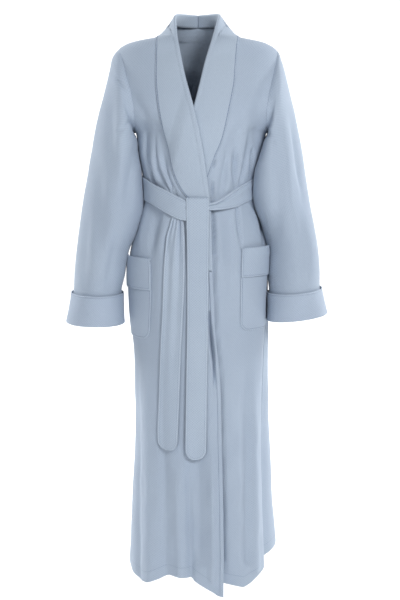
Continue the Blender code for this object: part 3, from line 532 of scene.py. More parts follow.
# Belt: the band round the waist, narrowing to the tie, and its two hanging tails
BELT = table("turn middle half out", [
    (2, -0.3798, 0.008, 15.5),
    (10, -0.38, 0.0082, 15.5),
    (16, -0.3785, 0.0095, 14.6),
    (22, -0.3745, 0.0125, 12),
    (30, -0.369, 0.0165, 7.6),
    (42, -0.361, 0.0205, 4.2),
    (55, -0.352, 0.0222, 3.4),
    (75, -0.343, 0.0238, 3.6),
    (90, -0.339, 0.0245, 3.6),
    (120, -0.336, 0.0245, 3.6),
    (180, -0.3345, 0.0245, 3.2),
    (240, -0.3355, 0.0245, 3.6),
    (270, -0.339, 0.0258, 3.6),
    (285, -0.342, 0.0265, 3.9),
    (297, -0.345, 0.0266, 6.4),
    (308, -0.351, 0.0258, 9.6),
    (318, -0.3588, 0.0255, 11.6),
    (330, -0.37, 0.026, 12.8),
    (342, -0.3825, 0.0258, 14.6),
    (350, -0.3885, 0.0232, 15.5),
    (358, -0.3895, 0.021, 15.5),
])
TAIL_FRONT = table("step height out left right", [
    (0, -0.394, 12.5, -0.0235, 0.0218),
    (1, -0.374, 12.5, -0.0235, 0.0218),
    (2, -0.363, 12.9, -0.0238, 0.022),
    (3, -0.3602, 14, -0.0238, 0.022),
    (4, -0.359, 15.6, -0.0238, 0.0221),
    (5, -0.3602, 17.3, -0.0238, 0.0221),
    (6, -0.364, 18.6, -0.0238, 0.0222),
    (7, -0.374, 19, -0.0237, 0.0223),
    (8, -0.398, 18.9, -0.0236, 0.0224),
    (9, -0.427, 17.4, -0.0233, 0.0225),
    (10, -0.471, 14.6, -0.023, 0.0225),
    (11, -0.54, 12.6, -0.0228, 0.0224),
    (12, -0.62, 12, -0.023, 0.022),
    (13, -0.7, 11.5, -0.024, 0.0208),
    (14, -0.78, 11, -0.0254, 0.0197),
    (15, -0.86, 11, -0.0265, 0.019),
    (16, -0.92, 11, -0.0272, 0.0183),
    (17, -0.938, 11, -0.0272, 0.0178),
    (18, -0.948, 11, -0.024, 0.0142),
    (19, -0.955, 11, -0.019, 0.0088),
    (20, -0.9595, 11, -0.011, 0.0002),
])
TAIL_UNDER = table("step height out left right pleat", [
    (0, -0.385, 11.2, -0.054, -0.032, 0),
    (1, -0.405, 11.2, -0.055, -0.031, 0),
    (2, -0.42, 11.4, -0.058, -0.0295, 1.8),
    (3, -0.45, 11.6, -0.0665, -0.0282, 2.2),
    (4, -0.5, 11.2, -0.0715, -0.0278, 2),
    (5, -0.56, 10.6, -0.0745, -0.029, 1.6),
    (6, -0.63, 10.4, -0.0775, -0.0325, 1.1),
    (7, -0.71, 10.2, -0.0815, -0.0365, 0.7),
    (8, -0.79, 10, -0.0848, -0.0395, 0.4),
    (9, -0.86, 10, -0.0872, -0.042, 0.2),
    (10, -0.905, 10, -0.089, -0.0438, 0),
    (11, -0.922, 10, -0.0885, -0.045, 0),
    (12, -0.931, 10, -0.085, -0.0485, 0),
    (13, -0.9375, 10, -0.08, -0.0535, 0),
    (14, -0.941, 10, -0.072, -0.062, 0),
])


def along(grid, at):
    """A grid read at fractions of its rows: smooth, with no overshoot."""
    step = np.diff(grid, axis=0)
    grade = np.zeros_like(grid)
    grade[0] = step[0]
    grade[-1] = step[-1]
    both = step[:-1] * step[1:]
    total = step[:-1] + step[1:]
    grade[1:-1] = np.where(both > 0, 2 * both / np.where(total == 0, 1, total), 0)
    i = np.clip(np.floor(at).astype(int), 0, len(grid) - 2)
    s = (at - i)[:, None]
    return (
        grid[i] * (1 + 2 * s) * (1 - s) ** 2
        + grid[i + 1] * s * s * (3 - 2 * s)
        + s * (1 - s) * (grade[i] * (1 - s) - grade[i + 1] * s)
    )


def even(count, each):
    """Fractions of a grid's rows or columns, the same number in each."""
    return np.linspace(0, count - 1, (count - 1) * each + 1)


def finer(grid, rows, columns):
    """A grid read at fractions of its rows, smoothly, and of its columns, straight."""
    grid = along(grid, rows)
    i = np.clip(np.floor(columns).astype(int), 0, grid.shape[1] - 2)
    s = columns - i
    return grid[:, i] * (1 - s) + grid[:, i + 1] * s


def quads(rows, columns, closed=False):
    last = columns if closed else columns - 1
    r, c = np.meshgrid(np.arange(rows - 1), np.arange(last), indexing="ij")
    n = (c + 1) % columns
    corners = [r * columns + c, r * columns + n, (r + 1) * columns + n, (r + 1) * columns + c]
    return np.stack(corners, -1).reshape(-1, 4)


def sided(faces, side):
    """Faces that look out, as a left piece's grid runs the other way round."""
    return faces[:, ::-1] if side == LEFT else faces


def facing_of(points, faces):
    look = np.cross(points[faces[:, 2]] - points[faces[:, 0]], points[faces[:, 3]] - points[faces[:, 1]])
    normal = np.zeros_like(points)
    for k in range(4):
        np.add.at(normal, faces[:, k], look)
    return normal / np.maximum(np.linalg.norm(normal, axis=1, keepdims=True), 1e-12)


def run_of(line):
    """How far along a line each of its points lies."""
    return np.concatenate([[0], np.cumsum(np.linalg.norm(np.diff(line, axis=0), axis=1))])


def drop_of(grid):
    """How far down its column each point of a grid lies."""
    steps = np.linalg.norm(np.diff(grid, axis=0), axis=2)
    return np.concatenate([np.zeros((1, grid.shape[1])), np.cumsum(steps, axis=0)])


def flat_place(points):
    """Where a body point lies on the flat cloth, in metres: round the body, and down."""
    x, y, z = points.reshape(-1, 3).T
    turn = np.arctan2(x, -y)
    wide = np.where(x < 0, read(FORM, "right", z), read(FORM, "left", z))
    deep = np.where(y < 0, read(FORM, "front", z), read(FORM, "back", z))
    return np.stack([turn * (0.62 * np.maximum(wide, 0.1) + 0.38 * np.maximum(deep, 0.1)), -z], axis=1)


# How far apart the sampled points along a stitched edge lie, and the distance given to points where no edge
# is stitched, in metres
STITCH_STEP = 1.2 * MM
FAR_FROM_STITCHES = 0.5


def stitch_places(points, stitched):
    """Each point's distance from the nearest stitched edge, and how far along the edges it lies."""
    places = np.full((len(points), 2), FAR_FROM_STITCHES)
    if not stitched:
        return places
    parts = []
    start = 0.0
    for line, closer in stitched:
        line = np.asarray(line, float)
        length = run_of(line)
        at = np.arange(0, length[-1], STITCH_STEP)
        spots = [np.interp(at, length, line[:, k]) for k in range(3)]
        parts.append(np.stack([*spots, closer + 0 * at, start + at], axis=1))
        start += length[-1] + 0.1
    parts = np.concatenate(parts)
    tree = kdtree.KDTree(len(parts))
    for i, spot in enumerate(parts[:, :3]):
        tree.insert(spot, i)
    tree.balance()
    for i, point in enumerate(points):
        _, nearest, away = tree.find(point)
        places[i] = away + parts[nearest, 3], parts[nearest, 4]
    return places


def dress(part, points, faces, material, flat, stitched=(), low=WALL / 2, high=WALL / 2):
    """Puts a closed thin shell of cloth, made on four-sided faces, in a part's place.

    flat says where its points lie on the flat cloth, in metres. Each stitched edge is a line and how
    much closer than its stitching that edge lies.
    """
    points = np.asarray(points, float).reshape(-1, 3)
    normal = facing_of(points, faces)
    count = len(points)
    edges = {}
    for k in range(4):
        for pair in zip(faces[:, k].tolist(), faces[:, (k + 1) % 4].tolist()):
            edges[pair] = True
    rim = [(b, a, count + a, count + b) for a, b in edges if (b, a) not in edges]
    rim = np.array(rim, int).reshape(-1, 4)
    thin = np.ones((count, 1))
    thin[rim[:, :2].reshape(-1)] = 0.6
    corners = np.concatenate([points + normal * high * thin, points - normal * low * thin])
    every = np.concatenate([faces, faces[:, ::-1] + count, rim])
    mesh = bpy.data.meshes.new(f"{part}_cloth")
    mesh.from_pydata(corners.tolist(), [], every.tolist())
    for layer, places in (("weave", flat), ("stitch", stitch_places(points, stitched))):
        at_corners = np.concatenate([places, places])[every.reshape(-1)].astype(np.float32)
        mesh.uv_layers.new(name=layer).data.foreach_set("uv", at_corners.reshape(-1))
    mesh.polygons.foreach_set("use_smooth", np.ones(len(mesh.polygons), bool))
    mesh.materials.append(material)
    mesh.update()
    made = bpy.data.objects.new(f"{part}_cloth", mesh)
    bpy.context.scene.collection.objects.link(made)
    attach(made, "root")
    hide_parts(part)


def node(tree, kind, **values):
    made = tree.nodes.new(kind)
    for key, value in values.items():
        setattr(made, key, value)
    return made


def maths(tree, kind, a, b=None, c=None):
    """One Math node; a, b and c are sockets or numbers."""
    made = node(tree, "ShaderNodeMath", operation=kind)
    for slot, value in zip(made.inputs, (a, b, c)):
        if isinstance(value, bpy.types.NodeSocket):
            tree.links.new(value, slot)
        elif value is not None:
            slot.default_value = value
    return made.outputs[0]


def noise(tree, place, scale, detail):
    made = node(tree, "ShaderNodeTexNoise")
    made.inputs["Scale"].default_value = scale
    made.inputs["Detail"].default_value = detail
    tree.links.new(place.outputs["Object"], made.inputs["Vector"])
    return made.outputs[0]


def coordinates(tree, layer):
    place = node(tree, "ShaderNodeUVMap", uv_map=layer)
    split = node(tree, "ShaderNodeSeparateXYZ")
    tree.links.new(place.outputs[0], split.inputs[0])
    return split.outputs


PITCH = 5.7 * MM
STITCH = 3.4 * MM
GROOVE = 0.9 * MM


def knit(name, light, dark, border, edge_highlight, dots, seam_and_shade):
    """A small diamond knit, with a stitched line at a set distance from the sewn edges, darkened in its
    groove as painted shade, and a band inside the sewn edges lightened as a painted highlight.
    """
    material = bpy.data.materials.new(name)
    material.use_nodes = True
    tree = material.node_tree
    shader = tree.nodes["Principled BSDF"]
    shader.inputs["Roughness"].default_value = 0.82
    shader.inputs["Specular IOR Level"].default_value = 0.25
    shader.inputs["Sheen Weight"].default_value = 0.22
    shader.inputs["Sheen Roughness"].default_value = 0.45
    shader.inputs["Sheen Tint"].default_value = (0.85, 0.92, 1.0, 1)

    weave = coordinates(tree, "weave")
    u = maths(tree, "MULTIPLY", weave[0], math.pi / PITCH)
    v = maths(tree, "MULTIPLY", weave[1], math.pi / PITCH)
    one = maths(tree, "ABSOLUTE", maths(tree, "SINE", maths(tree, "ADD", u, v)))
    two = maths(tree, "ABSOLUTE", maths(tree, "SINE", maths(tree, "SUBTRACT", u, v)))
    eye = maths(tree, "POWER", maths(tree, "MULTIPLY", one, two), 1.3)

    place = node(tree, "ShaderNodeTexCoord")
    slub = noise(tree, place, 420.0, 2.0)
    cloud = noise(tree, place, 9.0, 1.0)

    stitch = coordinates(tree, "stitch")
    off = maths(tree, "DIVIDE", maths(tree, "SUBTRACT", stitch[0], border), GROOVE)
    groove = maths(tree, "EXPONENT", maths(tree, "MULTIPLY", maths(tree, "MULTIPLY", off, off), -1.0))
    beat = maths(tree, "SINE", maths(tree, "MULTIPLY", stitch[1], 2 * math.pi / STITCH))
    # Painted shade: the dotted stitch line is darkened where its groove lies; the same strength also sets the
    # groove's bump depth
    stitch_shade = maths(tree, "MULTIPLY", groove, maths(tree, "MULTIPLY_ADD", beat, 0.35, 0.65))
    rim = maths(tree, "LESS_THAN", stitch[0], border)

    amount = maths(tree, "MULTIPLY", eye, 0.55 * dots)
    amount = maths(tree, "MULTIPLY_ADD", maths(tree, "SUBTRACT", cloud, 0.5), 0.35, amount)
    amount = maths(tree, "MULTIPLY_ADD", maths(tree, "SUBTRACT", slub, 0.5), 0.5, amount)
    amount = maths(tree, "MULTIPLY_ADD", stitch_shade, 1.5 * seam_and_shade, amount)
    # Painted highlight: the band inside the sewn edges is made lighter
    amount = maths(tree, "MULTIPLY_ADD", rim, -edge_highlight, amount)
    lock = node(tree, "ShaderNodeClamp")
    lock.inputs["Min"].default_value = -0.4
    lock.inputs["Max"].default_value = 2.2
    tree.links.new(amount, lock.inputs["Value"])
    shade = node(tree, "ShaderNodeMix", data_type="RGBA")
    shade.inputs[6].default_value = (*light, 1)
    shade.inputs[7].default_value = (*dark, 1)
    shade.clamp_factor = False
    tree.links.new(lock.outputs[0], shade.inputs[0])
    tree.links.new(shade.outputs[2], shader.inputs["Base Color"])

    height = maths(tree, "MULTIPLY", eye, -0.5)
    height = maths(tree, "MULTIPLY_ADD", slub, 0.25, height)
    height = maths(tree, "MULTIPLY_ADD", groove, -1.6 * seam_and_shade, height)
    height = maths(tree, "MULTIPLY_ADD", rim, 0.5, height)
    bump = node(tree, "ShaderNodeBump")
    bump.inputs["Strength"].default_value = 0.55
    bump.inputs["Distance"].default_value = 0.9 * MM
    tree.links.new(height, bump.inputs["Height"])
    tree.links.new(bump.outputs[0], shader.inputs["Normal"])
    return material


def linear(r, g, b):
    """A colour given as display values from 0 to 255."""
    value = np.array([r, g, b]) / 255
    return tuple(float(x) for x in np.where(value > 0.04045, ((value + 0.055) / 1.055) ** 2.4, value / 12.92))


HEM = 25 * MM
BORDER = 8.5 * MM
# Each knit: pale and darker colour, stitch border distance, painted highlight along the sewn edges, diamond
# pattern strength, then stitch groove depth with its painted shade
CLOTH = knit("cloth_knit", linear(166, 179, 195), linear(138, 152, 175), HEM, 0.0, 0.8, 0.45)
POCKET_CLOTH = knit("pocket_knit", linear(167, 180, 196), linear(138, 152, 175), 4 * MM, 0.15, 0.8, 0.8)
COLLAR_CLOTH = knit("collar_knit", linear(169, 182, 197), linear(138, 152, 174), 2.4 * MM, 0.1, 0.7, 1.3)
CUFF_CLOTH = knit("cuff_knit", linear(168, 181, 198), linear(138, 152, 175), 4 * MM, 0.15, 0.7, 0.5)
BAND_CLOTH = knit("band_knit", linear(169, 182, 198), linear(136, 151, 174), 4 * MM, 0.15, 0.9, 0.6)
BELT_CLOTH = knit("belt_knit", linear(172, 185, 200), linear(138, 153, 176), 4.5 * MM, 0.12, 1.1, 0.3)

DEEPER_FOLDS = 1.8
# Small folds, all in mm: depth and half width, strength at each end, then a line of (x, z) over the cloth
FRONT_FOLDS = [
    (-2.6, 4.5, 0, 1, [(-119, -204), (-119, -254), (-114, -285), (-106, -310), (-99, -333)]),
    (-2.8, 4.8, 0, 1, [(-101, -213), (-98, -253), (-92, -289), (-79, -318), (-65, -343)]),
    (-3.2, 3.5, 0, 1, [(-109, -290), (-104, -312), (-99, -331)]),
    (-2.6, 4.5, 0, 1, [(-83, -253), (-72, -298), (-62, -325), (-49, -356)]),
    (1.2, 5, 0, 1, [(-107, -245), (-100, -294), (-86, -334)]),
    (1.2, 5, 0, 1, [(-89, -265), (-77, -309), (-61, -347)]),
    (-3, 17, 0, 0.3, [(-157, -116), (-141, -143), (-125, -169), (-114, -200), (-110, -236)]),
    (-2.4, 13, 0.1, 0.4, [(-97, -170), (-91, -213), (-78, -258), (-63, -298)]),
    (-3.8, 4.5, 0, 1, [(87, -244), (84, -271), (82, -300), (85, -337)]),
    (-3, 8, 0, 0.6, [(67, -231), (64, -262), (56, -316), (48, -354)]),
    (-3.4, 6, 0, 1, [(116, -196), (114, -242), (105, -292), (93, -330)]),
    (-4.2, 3.6, 0, 1, [(125, -245), (123, -272), (121, -290), (120, -313)]),
    (2, 5, 0, 1, [(97, -253), (94, -294), (91, -330)]),
    (2, 6, 0, 1, [(74, -264), (70, -309), (68, -343)]),
    (-3, 17, 0, 0.3, [(174, -70), (153, -107), (139, -152), (131, -200), (123, -249)]),
    (-2.4, 13, 0, 0.5, [(102, -165), (89, -209), (81, -253), (74, -298)]),
    (-4.4, 3.8, 1, 0.4, [(89, -384), (92, -422), (97, -456), (99, -472)]),
    (2.2, 4.5, 0.8, 0.4, [(132, -368), (150, -402), (159, -430), (164, -469)]),
    (-3, 3.6, 0.8, 0.4, [(121, -375), (138, -402), (148, -434), (153, -473)]),
    (-3.2, 10, 0.6, 0.2, [(-88, -393), (-100, -434), (-106, -492)]),
    (2, 9, 0.6, 0.2, [(-115, -381), (-129, -432), (-134, -486)]),
    (-3, 5.5, 0.8, 0.2, [(-61, -412), (-70, -444), (-75, -491)]),
    (2, 7, 0.6, 0.2, [(45, -394), (49, -454), (50, -522)]),
    (-2.6, 10, 0.3, 0.2, [(70, -392), (73, -478), (75, -591)]),
    (-5, 14, 0, 1, [(108, -710), (112, -829), (115, -997), (116, -1214)]),
    (3.2, 13, 0, 1, [(71, -660), (69, -823), (70, -1013), (73, -1229)]),
    (3, 10, 0, 1, [(130, -737), (132, -905), (135, -1099), (138, -1246)]),
    (-4.6, 6, 0, 1, [(-23, -966), (-21, -1056), (-19, -1152), (-16, -1249)]),
    (-5.5, 22, 0, 0.9, [(0, -820), (-2, -985), (0, -1200)]),
    (3, 10, 0, 1, [(-46, -968), (-46, -1058), (-44, -1154), (-42, -1241)]),
    (-4.4, 14, 0, 1, [(-78, -684), (-81, -825), (-79, -1014), (-78, -1250)]),
    (3.4, 13, 0, 1, [(-113, -688), (-117, -832), (-115, -1022), (-114, -1259)]),
    (-3.4, 8, 0, 1, [(-141, -719), (-143, -890), (-143, -1082), (-142, -1263)]),
    (3, 7, 0, 1, [(30, -915), (33, -1057), (35, -1250)]),
    (-8.5, 4, 0.3, 0.2, [(24, -617), (28, -653), (31, -686), (36, -732), (38, -786)]),
]
SLEEVE_FRONT_FOLDS = [
    (-2.6, 5, 0.2, 0.6, [(-193, -89), (-177, -102), (-159, -118)]),
    (-3, 14, 0, 0.4, [(-193, -107), (-196, -187), (-193, -276)]),
    (-2.8, 16, 0.2, 0.2, [(-231, -254), (-223, -366), (-223, -481)]),
    (-3, 12, 0.8, 0, [(-138, -254), (-155, -321), (-164, -401)]),
    (2, 12, 0, 0.2, [(-178, -164), (-174, -254), (-178, -344)]),
    (-2.4, 12, 0, 0.3, [(-251, -366), (-257, -458), (-263, -562)]),
    (-2.2, 10, 0.2, 0.4, [(-183, -435), (-198, -504), (-208, -574)]),
    (-2.4, 6, 0.6, 0, [(-151, -187), (-167, -204), (-183, -215)]),
    (-3, 7, 0, 0.2, [(207, -160), (215, -209), (227, -287), (242, -378)]),
    (-2.8, 14, 0.3, 0.2, [(178, -187), (179, -276), (181, -412), (170, -481)]),
    (2, 12, 0, 0.2, [(196, -164), (202, -276), (211, -412)]),
    (-2.4, 12, 0.1, 0.3, [(233, -366), (241, -458), (245, -562)]),
    (-2.2, 6, 0.6, 0, [(154, -215), (170, -231), (188, -236)]),
    (-0.5, 6, 0.2, 0.6, [(268, -581), (250, -597), (229, -611)]),
]
# On the left front alone, beside the edge that lies on it
UNDER_FOLDS = [
    (-4.5, 2.8, 0.4, 0.4, [(37.7, -275), (35.5, -284), (33.3, -293)]),
    (-6, 2.8, 0.4, 1, [(32.5, -324), (32.6, -347), (33.1, -371)]),
    (-7, 3.2, 1, 0.8, [(33.1, -371), (34.5, -454), (36.3, -521), (38.4, -571)]),
    (-4.5, 3.2, 0.8, 0.8, [(38.4, -571), (41.5, -647), (46.2, -709), (53.2, -766), (54.9, -881)]),
    (-5.5, 3.4, 0.8, 1, [(54.9, -881), (57.1, -1011), (58.5, -1203)]),
]
BACK_FOLDS = [
    (-3.4, 6, 0, 1, [(-112, -205), (-104, -250), (-98, -325)]),
    (-3.6, 7, 0, 1, [(-80, -190), (-74, -250), (-70, -330)]),
    (-2.8, 6, 0, 1, [(-48, -240), (-46, -280), (-42, -330)]),
    (1.6, 6, 0, 1, [(-60, -225), (-58, -330)]),
    (-3.8, 7, 0, 1, [(12, -215), (10, -270), (8, -330)]),
    (-2.8, 5.5, 0, 1, [(46, -255), (44, -330)]),
    (-3.6, 6.5, 0, 1, [(92, -180), (82, -250), (78, -330)]),
    (-3, 6, 0, 1, [(118, -215), (110, -325)]),
    (-3, 16, 0, 0.3, [(-150, -90), (-128, -150), (-112, -220)]),
    (-3, 15, 0, 0.3, [(152, -85), (132, -160), (118, -240)]),
    (-2.4, 15, 0.1, 0.1, [(-60, -50), (0, -72), (64, -48)]),
    (-3.6, 7, 1, 0, [(-88, -385), (-96, -450), (-100, -560)]),
    (-3.2, 7, 1, 0, [(-30, -385), (-34, -480), (-36, -620)]),
    (-3.4, 6.5, 1, 0, [(40, -385), (44, -440), (50, -540)]),
    (-3.2, 7, 1, 0, [(98, -380), (108, -460), (112, -590)]),
    (-3.6, 17, 0, 1, [(-104, -560), (-112, -800), (-118, -1050), (-122, -1300)]),
    (2.4, 15, 0, 1, [(-70, -600), (-74, -900), (-78, -1300)]),
    (-4.2, 16, 0, 1, [(-34, -540), (-32, -800), (-36, -1080), (-40, -1300)]),
    (2.2, 14, 0, 1, [(8, -700), (6, -1000), (4, -1300)]),
    (-3.8, 17, 0, 1, [(48, -620), (56, -860), (60, -1300)]),
    (2.4, 15, 0, 1, [(90, -640), (96, -950), (100, -1300)]),
    (-3.2, 14, 0, 1, [(128, -600), (136, -900), (142, -1300)]),
]
SLEEVE_BACK_FOLDS = [
    (-3, 14, 0, 0.3, [(-196, -110), (-200, -190), (-198, -290)]),
    (-3.2, 9, 0.6, 0, [(-142, -255), (-164, -300), (-184, -330)]),
    (-3.2, 9, 0.3, 0.1, [(-146, -385), (-172, -370), (-200, -345)]),
    (-2.8, 15, 0.1, 0.2, [(-236, -300), (-240, -420), (-246, -560)]),
    (-2.4, 12, 0, 0.3, [(-200, -440), (-208, -580)]),
    (-3, 14, 0, 0.3, [(190, -105), (196, -200), (194, -280)]),
    (-3.2, 9, 0.6, 0, [(152, -250), (172, -290), (190, -310)]),
    (-3.2, 9, 0.3, 0.1, [(142, -360), (168, -350), (196, -330)]),
    (-2.8, 15, 0.1, 0.2, [(226, -310), (232, -430), (240, -560)]),
    (-2.4, 12, 0, 0.3, [(196, -450), (202, -580)]),
]


def nearest_on(line, places):
    """Distances to a line, and how far along it the nearest place is."""
    length = run_of(line)
    best = np.full(len(places), 1e9)
    where = np.zeros(len(places))
    for k in range(len(line) - 1):
        way = line[k + 1] - line[k]
        t = np.clip(((places - line[k]) @ way) / (way @ way), 0, 1)
        away = np.linalg.norm(places - line[k] - t[:, None] * way, axis=1)
        closer = away < best
        best = np.where(closer, away, best)
        where = np.where(closer, length[k] + t * (length[k + 1] - length[k]), where)
    return best, where, length[-1]


def fold_depth(points, folds):
    """How far a table of folds moves points out, in metres: soft troughs and ridges, uneven along them."""
    place = points[:, [0, 2]]
    total = np.zeros(len(points))
    for number, (depth, wide, first, last, line) in enumerate(folds):
        line = np.array(line) * MM
        if len(line) > 2:
            line = along(line, even(len(line), 5))
        near = 5.0 * wide * MM
        close = (place > line.min(axis=0) - near).all(axis=1) & (place < line.max(axis=0) + near).all(axis=1)
        if not close.any():
            continue
        best, where, length = nearest_on(line, place[close])
        wave = np.sin(number * 2.3 + where * 61) * 0.6 + np.sin(number * 1.7 + where * 23) * 0.4
        u = best / (wide * MM * (1 + 0.22 * wave))
        strength = np.interp(where / length, [0, 0.35, 0.7, 1], [first, 1, 1, last]) * (1 + 0.18 * wave)
        total[close] += DEEPER_FOLDS * depth * MM * strength * (1.2 * bell(u) - 0.26 * bell(u / 2.3))
    return total


def unevenness(points):
    """The slight waves of hanging cloth, in metres."""
    x, y, z = points.T
    one = np.sin(x * 31 + y * 17 + 2.1 * np.sin(z * 9) + z * 5) * np.sin(z * 21 + x * 9 + 1.3)
    two = np.sin(x * 67 - y * 41 + 1.7 * np.sin(z * 17 + x * 8)) * np.sin(z * 38 - y * 15 + 0.4)
    return MM * (0.9 * one + 0.35 * two)


def drape(points, more=()):
    """How far the folds move a body point out, in metres. The belt holds the cloth flat."""
    shape = points.shape[:-1]
    points = points.reshape(-1, 3)
    x, y, z = points.T
    facing = ease((0.014 - y) / 0.03)
    folds = fold_depth(points, FRONT_FOLDS + list(more)) * facing
    out = folds + fold_depth(points, BACK_FOLDS) * (1 - facing) + unevenness(points)
    turn = np.degrees(np.arctan2(x, -y)) % 360
    held = np.exp(-(((z - read(BELT, "middle", turn, "turn")) / 0.024) ** 4))
    top = ease((-0.01 - z) / 0.05)
    out = np.where(out > 0, out * (1 - held), out * (1 - 0.4 * held)) * top
    return out.reshape(shape)


def worn(cloth, turn, height, out=0.0, share=1.0, more=()):
    """A cloth's form with its folds: points and the ways out of it."""
    points, way = surface(cloth, turn, height, out)
    return points + way * (drape(points, more) * share)[..., None], way


# Fine rows and columns to each row and column of the fronts, the back, the collar and the pockets
DOWN = 9
ACROSS = 10
BACK_ACROSS = 6
COLLAR_ACROSS = 8
POCKET_DOWN = 12
POCKET_ACROSS = 10

LINES = {side: front_lines(side) for side in (RIGHT, LEFT)}
BORDER_HIGH = 1.3 * MM
BORDER_RAMP = 14


def front_points(side):
    """A front's fine grid, with a flat raised border along its edge below the collar."""
    turns, heights = LINES[side]
    rows = even(turns.shape[0], DOWN)
    columns = even(turns.shape[1] - 1, ACROSS)
    turn = finer(turns[:, 1:], rows, columns)
    height = finer(heights[:, 1:], rows, columns)
    points, normals = worn(KINDS[side], turn, height, more=UNDER_FOLDS if side == LEFT else ())
    first = COLLAR_END_ROW * DOWN - BORDER_RAMP
    from_edge = np.linalg.norm(points[first:] - points[first:, :1], axis=-1)
    begin = np.clip(np.arange(len(points) - first) / BORDER_RAMP, 0, 1)[:, None]
    points[first:] += normals[first:] * (BORDER_HIGH * ease((BORDER - from_edge) / 0.0018) * begin)[..., None]
    return points


def dress_front(side):
    points = FRONTS[side]
    edges = [(points[-1], 0.0), (points[COLLAR_END_ROW * DOWN :, 0], HEM - BORDER)]
    faces = sided(quads(*points.shape[:2]), side)
    dress(f"front_{NAMES[side]}", points, faces, CLOTH, flat_place(points), edges)


FRONTS = {side: front_points(side) for side in (RIGHT, LEFT)}
for side in (RIGHT, LEFT):
    dress_front(side)

halves = [back_half(LEFT), back_half(RIGHT)]
back_turns, back_heights = (np.concatenate([halves[0][k], halves[1][k][:, -2::-1]], axis=1) for k in (0, 1))
back_fine = even(back_turns.shape[0], DOWN), even(back_turns.shape[1], BACK_ACROSS)
back_points, _ = worn(BACK, finer(back_turns, *back_fine), finer(back_heights, *back_fine))
back_faces = quads(*back_points.shape[:2])
dress("back", back_points, back_faces, CLOTH, flat_place(back_points), [(back_points[-1], 0.0)])


# Points closer than this are one point
SAME_PLACE = 0.02 * MM


def join_patches(patches):
    """Grids whose borders meet, as one set of points and faces."""
    points = np.concatenate([p.reshape(-1, 3) for p, _, _ in patches])
    flats = np.concatenate([f.reshape(-1, 2) for _, f, _ in patches])
    faces = []
    start = 0
    for p, _, way in patches:
        f = quads(*p.shape[:2])
        across = np.cross(p[1, 0] - p[0, 1], p[1, 1] - p[0, 0])
        faces.append((f if across @ way < 0 else f[:, ::-1]) + start)
        start += p.shape[0] * p.shape[1]
    cells = np.round(points / SAME_PLACE).astype(np.int64)
    _, first, index = np.unique(cells, axis=0, return_index=True, return_inverse=True)
    faces = index.reshape(-1)[np.concatenate(faces)]
    whole = (faces != np.roll(faces, -1, axis=1)).all(axis=1)
    return points[first], flats[first], faces[whole]


def soften(line, reach):
    """A line with its corners rounded, its ends kept."""
    count = len(line)
    out = line.copy()
    for _ in range(3):
        before = 2 * out[:1] - out[reach:0:-1]
        after = 2 * out[-1:] - out[-2 : -reach - 2 : -1]
        total = np.cumsum(np.concatenate([np.zeros((1, line.shape[1])), before, out, after]), axis=0)
        out = (total[2 * reach + 1 :] - total[: -2 * reach - 1])[:count] / (2 * reach + 1)
    return out


# The collar's folded edge is a roll, which thins towards its lower end
ROLL = 2.6 * MM
THIN_ROLL = 0.5 * MM
LEAF_END = 1.2 * MM
COLLAR_TOP = 0.056


def puffed(share):
    return 1.4 * MM * bell(share / 0.3) + 0.8 * MM * np.sin(np.pi * share)


def collar_leaf(side):
    """The collar in front: its points, the ways out, and the lines of its crest and foot."""
    turns, heights = LINES[side]
    rows = even(COLLAR_END_ROW + 1, DOWN)
    columns = even(UNDER_COLLAR + 1, COLLAR_ACROSS)
    on_leaf = slice(COLLAR_END_ROW + 1), slice(1, UNDER_COLLAR + 2)
    turn = finer(turns[on_leaf], rows, columns)
    height = finer(heights[on_leaf], rows, columns)
    to_end = np.clip((len(rows) - 1 - np.arange(len(rows))) / 26, 0, 1)[:, None]
    out = LEAF_END + (LEAF - LEAF_END + puffed(columns / UNDER_COLLAR)[None, :]) * ease(to_end)
    leaf, way = worn(KINDS[side], turn, height, out)
    crest_turn, crest_height = (along(g[: COLLAR_END_ROW + 1, :1], rows)[:, 0] for g in (turns, heights))
    crest = worn(KINDS[side], crest_turn, crest_height)
    foot, _ = worn(KINDS[side], turn[:, 0], height[:, 0])
    return leaf, way, crest, foot


def collar_nape(side):
    """The collar behind the neck: its points, the ways out, and the lines of its crest and foot."""
    across = np.arange(SIDE_COLUMNS, back_turns.shape[1] // 2 + 1)
    if side == RIGHT:
        across = back_turns.shape[1] - 1 - across
    rows = even(COLLAR_BACK_ROW + 1, DOWN)
    columns = even(len(across), COLLAR_ACROSS)
    turn = finer(back_turns[: COLLAR_BACK_ROW + 1][:, across], rows, columns)
    height = finer(back_heights[: COLLAR_BACK_ROW + 1][:, across], rows, columns)
    corner = np.clip(columns / UNDER_COLLAR, 0, 1)
    from_neck = np.maximum((rows / COLLAR_BACK_ROW)[:, None], 1 - corner[None, :])
    nape, way = worn(BACK, turn, height, LEAF + puffed(from_neck))
    crest = surface(BACK, turn[0], COLLAR_TOP + 0 * turn[0])
    foot, _ = surface(BACK, turn[0], height[0])
    return nape, way, crest, foot


def collar_roll(edge, crest, crest_out, foot):
    """The rolled edge, ring by ring from the collar's face over the crest to its foot inside."""
    inward = foot - crest
    inward -= (inward * crest_out).sum(axis=1, keepdims=True) * crest_out
    inward /= np.linalg.norm(inward, axis=1, keepdims=True)
    run = run_of(crest)
    size = (THIN_ROLL + (ROLL - THIN_ROLL) * ease((run[-1] - run) / 0.11))[:, None]
    rings = [edge]
    top = crest + inward * size + crest_out * 2 * size
    for s in (0.25, 0.5, 0.75, 0.92):
        rings.append(edge * (1 - s) + top * s + crest_out * 0.5 * MM * math.sin(math.pi * s))
    centre = crest + inward * size + crest_out * size
    for turn in np.linspace(0, math.pi, 8):
        rings.append(centre + (crest_out * math.cos(turn) - inward * math.sin(turn)) * size)
    under = crest + inward * size
    for s in (0.2, 0.5, 0.8, 1.0):
        rings.append(under * (1 - s) + (foot - inward * 0.3 * MM) * s)
    return np.array(rings), run


